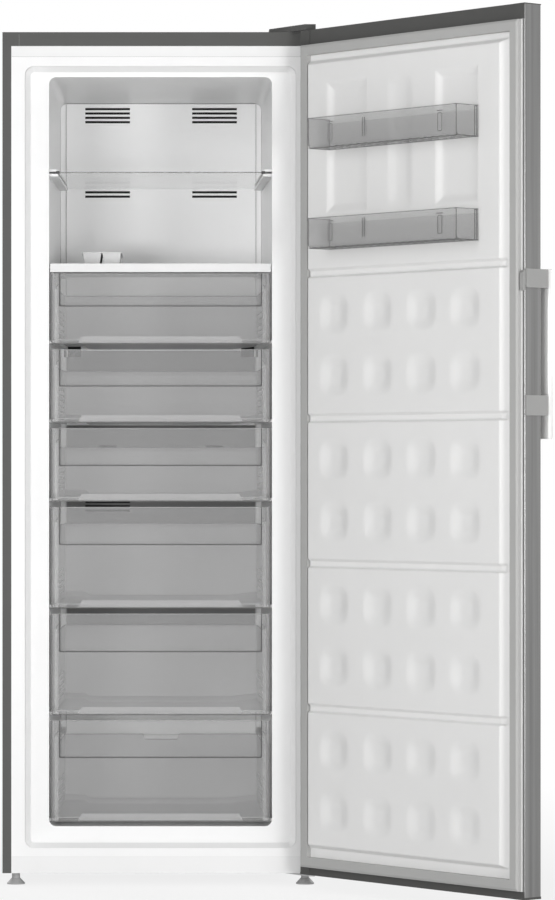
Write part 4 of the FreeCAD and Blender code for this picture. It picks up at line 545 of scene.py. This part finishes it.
def drawer_tub(number, low, high, back_drop):
    """A clear tub: a stepped floor, a low front wall, slotted side walls and a lower back wall."""
    shape = Shape("clear_tub", "clear_edge_painted_shade", "clear_line_painted_shade")
    top = high - TUB_TOP_DROP
    back_top = high - back_drop
    floor = low + STEP_DROP
    back = TUB_BACK - 1.2
    first_vent = low + VENT_START

    def half_at(y):
        share = (y - TUB_FRONT) / (TUB_BACK - TUB_FRONT)
        return TUB_FRONT_HALF + (TUB_BACK_HALF - TUB_FRONT_HALF) * share

    def top_at(y):
        return top - (top - back_top) * ramp(y, *TUB_FALL)

    def floor_z(x, y):
        step = STEP_DROP * ramp(abs(x), STEP_HALF, STEP_HALF - 14.0) * ramp(y, 36, 60)
        rise = BACK_RISE * ramp(y, TUB_BACK - BACK_RISE_LENGTH, TUB_BACK) ** 2
        return floor - step + rise

    def in_vent(y, z):
        up = z - first_vent
        in_rows = 0 <= up < VENTS * VENT_PITCH and up % VENT_PITCH < VENT_HEIGHT
        return in_rows and VENT_Y[0] < y < VENT_Y[1]

    # floor, its middle lower than its sides
    shape.panel(
        lines(33.0, TUB_BACK, 80.0, (48, 14, 3.5), (TUB_BACK - 14, 13, 4)),
        lines(-1.0, 1.0, 0.25, (-0.745, 0.045, 0.01), (0.745, 0.045, 0.01)),
        lambda y, u, z: (u * (half_at(y) - 1.0), y, z),
        lambda y, u: floor_z(u * half_at(y), y) + TUB_WALL,
        lambda y, u: floor_z(u * half_at(y), y),
    )
    # low front wall
    shape.panel(
        [-1.0, -0.5, 0.0, 0.5, 1.0],
        [low + 1.0, low + STEP_LIP],
        lambda u, z, y: (u * (STEP_HALF + 5.0 - (z - low) * 0.6), y, z),
        lambda u, z: 38.5,
        lambda u, z: 41.0,
    )
    # side walls with their air slots
    vent_ys = [VENT_Y[0] + (VENT_Y[1] - VENT_Y[0]) * k / 4 for k in range(5)]
    ys = [34.0, 45.0, 58.0, 70.0, 82.0, 120.0, *vent_ys, 455.0, TUB_BACK]
    vent_zs = {first_vent + VENT_PITCH * k + rise for k in range(VENTS) for rise in (0.0, VENT_HEIGHT)}
    zs = sorted(vent_zs | {floor, top})
    for side in (-1, 1):

        def wall(y, z, inset=1.2, side=side):
            return side * (half_at(y) - inset), y, z

        shape.panel(
            ys,
            zs,
            lambda y, z, inset: wall(y, min(z, top_at(y)) if z > back_top - 12 else z, inset),
            lambda y, z: 0.0,
            lambda y, z: TUB_WALL,
            hole=in_vent,
        )
        for k in range(VENTS):
            z = first_vent + VENT_PITCH * k + VENT_HEIGHT
            shape.sweep([wall(VENT_Y[0], z), wall(VENT_Y[1], z)], 1.6, 2.8, 1, side=(0, 0, 1))
        # rims and corner lines in painted shade, darker as clear plastic looks seen along its length
        rim_line = [wall(y, top_at(y) - 0.5) for y in (34, 45, 58, 70, 82, 220, 350, back)]
        shape.sweep(rim_line, RIM_WIDTH, RIM_WIDTH, 2, side=(0, 0, 1))
        shape.sweep([wall(back, floor), wall(back, back_top)], 1.8, 1.8, 2)
    # back wall, with a finger notch in the lowest drawer
    finger_low = back_top - FINGER_DROP

    def in_finger_notch(u, z):
        return number == LOWEST and abs(u * TUB_BACK_HALF) < FINGER_HALF and z > finger_low

    shape.panel(
        [-1.0, -0.5, -0.18, 0.18, 0.5, 1.0],
        [floor, floor + 20, finger_low, back_top],
        lambda u, z, inset: (u * (TUB_BACK_HALF - 1.0), TUB_BACK - inset, z),
        lambda u, z: TUB_WALL,
        lambda u, z: 0.0,
        hole=in_finger_notch,
    )
    rim = TUB_BACK_HALF - 1.5
    back_line, finish = [(-rim, back, back_top), (rim, back, back_top)], 2
    if number == LOWEST:
        corners = ((-42, back_top), (-38, finger_low), (38, finger_low), (42, back_top))
        back_line[1:1] = [(x, back, z) for x, z in corners]
        finish = 1
    shape.sweep(back_line, RIM_WIDTH, RIM_WIDTH, finish)
    shape.make(f"drawer_tub_{number}", f"drawer_{number}", "clear_drawer", (f"drawer_{number}_tub",))


for number, (low, high, grip_low, back_drop) in enumerate(DRAWERS, 1):
    drawer_front(number, low, high, grip_low)
    drawer_tub(number, low, high, back_drop)


# ---- door bins --------------------------------------------------------------------------------
BIN_S = (112.8, 577.2)
BIN_BACK, BIN_FRONT = -12.6, -78.8
BIN_HEIGHT, BIN_WALL = 66.0, 2.3
BIN_FOOT = 7.0
BIN_RIBS = 40
BIN_CLIPS = (116.0, 462.0)
BIN_STRIPS = (220.0, 226.5)
CLIP_HALF, CLIP_RADIUS, CLIP_DROP = (3.5, 16.0), 3.0, 27.0
ACROSS = (0, 0, 1)


def bin_clip(shape, s, top, behind):
    """A rounded ring on the bin's back wall, with a short bar above it."""
    middle = top - CLIP_DROP
    ring = []
    for across, up, start in ((1, 1, 0), (-1, 1, 90), (-1, -1, 180), (1, -1, 270)):
        for k in range(4):
            a = math.radians(start + 30 * k)
            ring_s = s + across * CLIP_HALF[0] + CLIP_RADIUS * math.cos(a)
            ring_z = middle + up * CLIP_HALF[1] + CLIP_RADIUS * math.sin(a)
            ring.append(on_door(ring_s, behind, ring_z))
    shape.sweep(ring, 1.5, 1.5, 1, closed=True, side=(0.6, 0.8, 0))
    shape.sweep([on_door(s - 9, behind, top - 3), on_door(s + 9, behind, top - 3)], 1.8, 1.8, 1)


def door_bin(name, body, low, node):
    """A clear bin: ribbed floor, four walls, moulded edges, and clips on its back wall."""
    shape = Shape("clear_bin", "clear_edge_painted_shade", "clear_line_painted_shade", "clear_thin")
    s0, s1 = BIN_S
    top = low + BIN_HEIGHT
    rib_z = low + 2.6

    def foot(z):
        return BIN_FOOT * ramp(z, low + 12, low) ** 2

    shape.panel(
        lines(s0 + 1, s1 - 1, 40.0),
        [BIN_FRONT + 8, -60, -40, BIN_BACK - 1],
        on_door,
        lambda s, t: low + 2.2,
        lambda s, t: low,
    )
    # ribs and edges of the bin in painted shade, darker as clear plastic looks seen along its length
    for k in range(1, BIN_RIBS):
        s = s0 + (s1 - s0) * k / BIN_RIBS
        reach = (BIN_FRONT + 8, -58.0) if k % 2 else (-50.0, BIN_BACK - 4)
        shape.sweep([on_door(s, t, rib_z) for t in reach], 2.2, 1.8, 2, side=ACROSS)
    # front and back walls
    shape.panel(
        lines(s0, s1, 60.0, (s0 + 4, 4, 2), (s1 - 4, 4, 2)),
        lines(low, top, 20.0, (low + 6, 5, 1.6)),
        lambda s, z, inset: on_door(s, BIN_FRONT + inset, z),
        lambda s, z: foot(z),
        lambda s, z: foot(z) + BIN_WALL,
    )
    shape.panel(
        lines(s0, s1, 120.0),
        [low, low + 30, top - 8],
        lambda s, z, inset: on_door(s, BIN_BACK - inset, z),
        lambda s, z: BIN_WALL,
        lambda s, z: 0.0,
        finish=3,
    )
    # end walls with their edges
    for s, side in ((s0, 1), (s1, -1)):
        shape.panel(
            [BIN_FRONT + BIN_WALL, -60, -40, -20, BIN_BACK - BIN_WALL],
            [low, low + 20, low + 45, top],
            lambda t, z, inset, s=s, side=side: on_door(s + side * inset, t, z),
            lambda t, z: 0.0,
            lambda t, z: BIN_WALL,
        )
        edge = s + side * 1.2
        corner = [
            on_door(edge, BIN_FRONT + 1.6, top),
            on_door(edge, BIN_FRONT + 1.6, low + 9),
            on_door(s + side * 4, BIN_FRONT + 6, low + 1.5),
        ]
        shape.sweep(corner, 1.6, 2.0, 1 if side == 1 else 2)
        upper = [on_door(edge, BIN_FRONT + 2, top), on_door(edge, BIN_BACK - 1, top)]
        shape.sweep(upper, 1.6, 1.6, 2)
        lower = [on_door(edge, BIN_FRONT + 7, low + 1.2), on_door(edge, BIN_BACK - 1, low + 1.2)]
        shape.sweep(lower, 2.0, 2.0, 1)
    hook_t = BIN_FRONT + 1.4
    hook = [
        on_door(s1 - 1.2, hook_t, top - 8),
        on_door(s1 - 1.2, hook_t, top - 0.8),
        on_door(s1 - 6, hook_t, top - 0.8),
    ]
    shape.sweep(hook, 1.8, 1.8, 1)
    for t, z in ((BIN_FRONT + 1.2, top), (BIN_FRONT + 7.5, low + 0.9), (BIN_BACK - 1.2, low + 1.2)):
        shape.sweep([on_door(s0 + 1, t, z), on_door(s1 - 1, t, z)], 1.6, 1.6, 2 if z == top else 1)
    # on the back wall: two rounded clips, a pair of strips, and a frame at the free end
    behind = BIN_BACK - 3.2
    for s in BIN_CLIPS:
        bin_clip(shape, s, top, behind)
    for s in BIN_STRIPS:
        shape.sweep([on_door(s, behind, top - 1), on_door(s, behind, top - 42)], 1.8, 2.4, 1)
    for s in (s1 - 9.5, s1 - 3.2):
        shape.sweep([on_door(s, behind, top - 0.5), on_door(s, behind, low + 3)], 2.0, 2.6, 1)
    shape.sweep([on_door(s1 - 10, behind, top - 1), on_door(s1 - 2, behind, top - 1)], 2.2, 2.6, 1)
    shape.make(name, body, "clear_bin", (node,))


door_bin("door_bin_upper", "bin_upper", 1616.1, "door_balcony_upper")
door_bin("door_bin_lower", "bin_lower", 1399.1, "door_balcony_lower")


# ---- duct cover: seams, painted-shade bands and painted shade behind its slots ----------------
DUCT_FACE = 530.0
DUCT_SEAM_X, DUCT_SEAM_Y = 222.4, 532.2
DUCT_SEAM_Z = (302.0, 1777.0)
DUCT_TOP_SEAM = (222.0, 532.4, 1778.0)
BAND_HALF = 221.0
BAND_BELOW, BAND_ABOVE = 8.0, 12.0
BAND_Y = (DUCT_FACE - 0.6, DUCT_FACE - 0.05)
PAINTED_SHADE_Y = (536.2, 536.8)
# the cover's slots that a band may cross, and the painted-shade plates behind its slots: x, x, z, z
SLOTS = (
    (-228.0, -188.0, 1184.0, 1210.0), (188.0, 228.0, 1184.0, 1210.0),
    (-146.0, -105.0, 971.5, 977.0), (105.0, 146.0, 971.5, 977.0),
    *((-178.0, -73.0, 841.5 - 10.2 * k, 847.0 - 10.2 * k) for k in range(3)),
)
PAINTED_SHADE_ROWS = ((1726.0, 1774.0), (1556.0, 1598.0), (966.0, 984.0))
DUCT_PAINTED_SHADE = (
    *((side * 126.0 - 58.0, side * 126.0 + 58.0, *row) for side in (-1, 1) for row in PAINTED_SHADE_ROWS),
    *((side * 206.0 - 26.0, side * 206.0 + 26.0, 1180.0, 1213.0) for side in (-1, 1)),
    (-184.0, -68.0, 818.0, 850.0),
)


def duct_seams():
    """Fine lines where the duct cover meets the cavity's back wall."""
    shape = Shape("seam_grey")
    for side in (-1, 1):
        shape.sweep([(side * DUCT_SEAM_X, DUCT_SEAM_Y, z) for z in DUCT_SEAM_Z], 1.6, 1.4)
    half, y, z = DUCT_TOP_SEAM
    shape.sweep([(-half, y, z), (half, y, z)], 1.4, 1.4)
    shape.make("duct_seams", "cabinet", "duct_white")


def duct_painted_shade_bands():
    """Painted shade: darker bands on the duct cover above the back walls of the second to the fifth tub."""
    shape = Shape("duct_painted_shade")

    def in_slot(x, z):
        return any(x0 < x < x1 and z0 < z < z1 for x0, x1, z0, z1 in SLOTS)

    for _, high, _, back_drop in DRAWERS[1:5]:
        bottom, top = high - back_drop - BAND_BELOW, high + BAND_ABOVE
        slot_xs = {x for slot in SLOTS for x in slot[:2] if abs(x) < BAND_HALF}
        slot_zs = {z for slot in SLOTS for z in slot[2:] if bottom < z < top}
        shape.panel(
            sorted({-BAND_HALF, BAND_HALF} | slot_xs),
            sorted({bottom, top} | slot_zs),
            lambda x, z, y: (x, y, z),
            lambda x, z: BAND_Y[0],
            lambda x, z: BAND_Y[1],
            hole=in_slot,
        )
    shape.make("duct_painted_shade_bands", "cabinet", "duct_white")


def duct_slot_painted_shade():
    """Painted shade: dark plates behind the duct cover's slots, for the unlit inside of the duct."""
    shape = Shape("dark_gap")
    for x0, x1, z0, z1 in DUCT_PAINTED_SHADE:
        shape.block((x0, PAINTED_SHADE_Y[0], z0), (x1, PAINTED_SHADE_Y[1], z1))
    shape.make("duct_slot_painted_shade", "cabinet", "duct_white")


duct_seams()
duct_painted_shade_bands()
duct_slot_painted_shade()


# ---- joints, edges and the recessed frame -----------------------------------------------------
TRIM_JOINT_Y = 0.35
TRIM_JOINT_HALF, TRIM_JOINT_Z = 329.5, 1834.0
TRIM_END_X, TRIM_END_Z = -313.0, (1857.6, 1884.0)
GLASS_EDGE_HALF, GLASS_EDGE_Y, GLASS_EDGE_Z = 231.5, 26.0, 1579.4
# half width, bottom, top and corner radius of the recess in the frame
RECESS = (299.5, 81.8, 1812.4, 20.0)
RECESS_SLOPE, RECESS_FACE, RECESS_FLOOR = 11.0, 0.6, 15.8
LEAST_RADIUS = 2.0


def trim_joint():
    """The joint under the top trim, and the upright one at its left end."""
    shape = Shape("seam_grey")
    shape.sweep([(side * TRIM_JOINT_HALF, TRIM_JOINT_Y, TRIM_JOINT_Z) for side in (-1, 1)], 1.0, 1.0)
    shape.sweep([(TRIM_END_X, TRIM_JOINT_Y, z) for z in TRIM_END_Z], 0.8, 0.8)
    shape.make("trim_joint", "cabinet", "white_gloss")


def glass_edge():
    """The front edge of the glass shelf, in painted shade: darker, as glass looks seen along its length."""
    shape = Shape("clear_line_painted_shade")
    shape.sweep([(side * GLASS_EDGE_HALF, GLASS_EDGE_Y, GLASS_EDGE_Z) for side in (-1, 1)], 2.4, 2.8)
    shape.make("glass_edge", "shelf_upper", "shelf_glass")


def rounded_ring(half, low, high, radius, inset):
    """Points (x, z) round a rectangle with rounded corners, drawn in by inset."""
    half, low, high = half - inset, low + inset, high - inset
    radius = max(radius - inset, LEAST_RADIUS)
    ring = []
    for x, z, start in ((half, high, 0), (-half, high, 90), (-half, low, 180), (half, low, 270)):
        cx = x - math.copysign(radius, x)
        cz = z - radius if z == high else z + radius
        ring += [(px, pz) for px, _, pz in quarter(cx, cz, radius, start, 0.0)]
    return ring


def recess_slope():
    """The frame falls to its recess over a soft slope, not over a sharp step."""
    shape = Shape("liner_white")
    outer = rounded_ring(*RECESS, 0.0)
    inner = rounded_ring(*RECESS, RECESS_SLOPE)
    for (x0, z0), (x1, z1) in zip(outer, inner):
        shape.points += [(x0, RECESS_FACE, z0), (x1, RECESS_FLOOR, z1), (x0, RECESS_FLOOR, z0)]
    count = len(outer)
    for i in range(count):
        here, there = 3 * i, 3 * ((i + 1) % count)
        for k in range(3):
            n = (k + 1) % 3
            shape.faces.append((here + k, here + n, there + n, there + k))
            shape.marks.append(0)
    shape.make("recess_slope", "cabinet", "white_gloss", sharp=60)


trim_joint()
glass_edge()
recess_slope()


# ---- handle bar and its brackets --------------------------------------------------------------
HANDLE_Z = (983.6, 1337.2)
HANDLE_S, HANDLE_T = (668.1, 697.9), (72.1, 85.9)
# the sides of the bar's section, counted from its first point, that are dark
DARK_SIDES = (4, 5)
BRACKET_Z = ((1032.1, 1074.1), (1296.9, 1335.9))
TIP_S, TIP_T = (690.0, 697.0), (65.6, 70.8)
GROOVE_S, GROOVE_T = 696.6, (30.0, 58.0)
GROOVE_SHARES = (0.4, 0.66)


def handle_bar():
    """A brushed bar, its face towards the door rounded and dark at one edge, its ends softened."""
    shape = Shape("handle_metal", "black_plastic")
    s0, s1 = HANDLE_S
    t0, t1 = HANDLE_T
    z0, z1 = HANDLE_Z
    section = [
        (s1, t0 + 3), (s1 - 1, t0 + 1), (s1 - 3, t0 + 0.2), (s0 + 14, t0),
        (s0 + 6, t0 + 0.6), (s0 + 2.5, t0 + 1.6), (s0 + 0.5, t0 + 4), (s0, t0 + 6),
        (s0, t1 - 2), (s0 + 2, t1), (s1 - 2, t1), (s1, t1 - 2),
    ]
    # height of each ring of points, and how far it is drawn in
    rings = [(z0, 2.0), (z0 + 0.6, 0.9), (z0 + 2.2, 0.0), (z1 - 2.2, 0.0), (z1 - 0.6, 0.9), (z1, 2.0)]
    count, middle_s, middle_t = len(section), (s0 + s1) / 2, (t0 + t1) / 2

    def drawn_in(value, middle, inset):
        return value - math.copysign(min(inset, abs(value - middle)), value - middle)

    for z, inset in rings:
        for s, t in section:
            shape.points.append(on_door(drawn_in(s, middle_s, inset), drawn_in(t, middle_t, inset), z))
    for r in range(len(rings) - 1):
        here, there = r * count, (r + 1) * count
        for k in range(count):
            n = (k + 1) % count
            shape.faces.append((here + k, here + n, there + n, there + k))
            shape.marks.append(1 if k in DARK_SIDES else 0)
    last = (len(rings) - 1) * count
    shape.faces += [tuple(reversed(range(count))), tuple(range(last, last + count))]
    shape.marks += [0, 0]
    shape.make("handle_grip_bar", "handle", "handle_metal", ("handle_bar",), sharp=50)


def bracket_tips():
    """The dark joint between each bracket and the bar, and two grooves in the bracket's free side."""
    tips, grooves = Shape("black_plastic"), Shape("seam_grey")
    for low, high in BRACKET_Z:
        tips.block((TIP_S[0], TIP_T[0], low + 0.5), (TIP_S[1], TIP_T[1], high - 0.5), place=on_door)
        for share in GROOVE_SHARES:
            z = low + (high - low) * share
            grooves.sweep([on_door(GROOVE_S, t, z) for t in GROOVE_T], 1.2, 1.2, side=ACROSS)
    tips.make("handle_bracket_tips", "door", "black_plastic")
    grooves.make("handle_bracket_grooves", "door", "bracket_grey")


handle_bar()
bracket_tips()


# ---- stage ------------------------------------------------------------------------------------
WHITE = (1, 1, 1, 1)
FLOOR_HALF, FLOOR_COLOUR = 30.0, (0.86, 0.86, 0.86, 1)
# share of plain white in the floor near the object, and the radii over which it rises to all
NEAR_WHITE = 0.8
FADE = (0.9, 3.0)
SKY_LIGHT = 0.22


def seen_directly(tree):
    """1 for a ray of the camera and for one that is mirrored or let through, else 0."""
    rays = tree.nodes.new("ShaderNodeLightPath")
    seen = rays.outputs["Is Camera Ray"]
    for kind in ("Is Glossy Ray", "Is Transmission Ray"):
        either = tree.nodes.new("ShaderNodeMath")
        either.operation = "MAXIMUM"
        tree.links.new(seen, either.inputs[0])
        tree.links.new(rays.outputs[kind], either.inputs[1])
        seen = either.outputs[0]
    return seen


def white_floor_material():
    """A pale matt floor, seen as nearly white near the object and as plain white further off."""
    m = bpy.data.materials.new("floor_white")
    m.use_nodes = True
    tree = m.node_tree
    link = tree.links.new
    shader = tree.nodes["Principled BSDF"]
    shader.inputs["Base Color"].default_value = FLOOR_COLOUR
    shader.inputs["Roughness"].default_value = 0.9
    shader.inputs["Specular IOR Level"].default_value = 0.1
    glow = tree.nodes.new("ShaderNodeEmission")
    glow.inputs["Strength"].default_value = 1.0
    # the object's shadow fades out some way from it, where only white is left
    place = tree.nodes.new("ShaderNodeTexCoord")
    away = tree.nodes.new("ShaderNodeVectorMath")
    away.operation = "LENGTH"
    link(place.outputs["Object"], away.inputs[0])
    share = tree.nodes.new("ShaderNodeMapRange")
    share.inputs["From Min"].default_value, share.inputs["From Max"].default_value = FADE
    share.inputs["To Min"].default_value = NEAR_WHITE
    share.inputs["To Max"].default_value = 1.0
    link(away.outputs["Value"], share.inputs["Value"])
    part = tree.nodes.new("ShaderNodeMath")
    part.operation = "MULTIPLY"
    link(seen_directly(tree), part.inputs[0])
    link(share.outputs["Result"], part.inputs[1])
    mix = tree.nodes.new("ShaderNodeMixShader")
    link(part.outputs[0], mix.inputs[0])
    link(shader.outputs[0], mix.inputs[1])
    link(glow.outputs[0], mix.inputs[2])
    link(mix.outputs[0], tree.nodes["Material Output"].inputs["Surface"])
    return m


def white_floor():
    """A wide floor at the height of the feet."""
    mesh = bpy.data.meshes.new("floor")
    corners = [(x * FLOOR_HALF, y * FLOOR_HALF, 0) for x, y in ((-1, -1), (1, -1), (1, 1), (-1, 1))]
    mesh.from_pydata(corners, [], [(0, 1, 2, 3)])
    mesh.materials.append(white_floor_material())
    made = bpy.data.objects.new("floor", mesh)
    bpy.context.scene.collection.objects.link(made)


def white_world():
    """A sky that lights the object softly and is seen as plain white."""
    world = bpy.data.worlds.new("studio")
    bpy.context.scene.world = world
    world.use_nodes = True
    tree = world.node_tree
    lighting = tree.nodes["Background"]
    lighting.inputs["Color"].default_value = WHITE
    lighting.inputs["Strength"].default_value = SKY_LIGHT
    seen = tree.nodes.new("ShaderNodeBackground")
    seen.inputs["Color"].default_value = WHITE
    seen.inputs["Strength"].default_value = 1.0
    choose = tree.nodes.new("ShaderNodeMixShader")
    tree.links.new(seen_directly(tree), choose.inputs[0])
    tree.links.new(lighting.outputs[0], choose.inputs[1])
    tree.links.new(seen.outputs[0], choose.inputs[2])
    tree.links.new(choose.outputs[0], tree.nodes["World Output"].inputs["Surface"])


def lamp(name, place, aim, size, power):
    """A rectangular lamp of size metres at place that shines towards aim."""
    data = bpy.data.lights.new(name, "AREA")
    data.shape = "RECTANGLE"
    data.size, data.size_y = size
    data.energy = power
    made = bpy.data.objects.new(name, data)
    made.location = place
    made.rotation_euler = (Vector(aim) - Vector(place)).to_track_quat("-Z", "Y").to_euler()
    bpy.context.scene.collection.objects.link(made)


white_floor()
white_world()
lamp("front", (-2.3, -7.6, 0.8), (0.0, 0.0, 0.6), (1.6, 1.0), 175)
lamp("key", (-3.2, -5.0, 2.9), (0.0, 0.0, 1.1), (2.4, 2.4), 95)
lamp("side", (3.3, -4.8, 1.1), (0.0, 0.0, 0.9), (2.0, 1.6), 145)
lamp("rear_left", (-4.0, 4.0, 2.6), (0.0, 0.3, 1.0), (3.0, 3.0), 110)
lamp("rear_right", (4.4, 3.4, 2.4), (0.3, 0.1, 1.0), (3.0, 3.0), 110)


# ---- camera -----------------------------------------------------------------------------------
# the picture's size, the focal length and the point that the camera looks at level, in pixels
PICTURE_WIDTH, PICTURE_HEIGHT = 555, 900
FOCAL_PIXELS = 3982
LEVEL_POINT = (170.0, 470.0)
SENSOR = 36

camera_data = bpy.data.cameras.new("camera")
camera_data.lens = FOCAL_PIXELS / PICTURE_HEIGHT * SENSOR
camera_data.sensor_width = SENSOR
camera_data.shift_x = (PICTURE_WIDTH / 2 - LEVEL_POINT[0]) / PICTURE_HEIGHT
camera_data.shift_y = (LEVEL_POINT[1] - PICTURE_HEIGHT / 2) / PICTURE_HEIGHT
camera_data.clip_end = 200
camera = bpy.data.objects.new("camera", camera_data)
camera.location = (0.021, -8.815, 0.919)
camera.rotation_euler = (math.radians(90), 0, 0)

scene = bpy.context.scene
scene.collection.objects.link(camera)
scene.camera = camera
scene.view_settings.view_transform = "Standard"
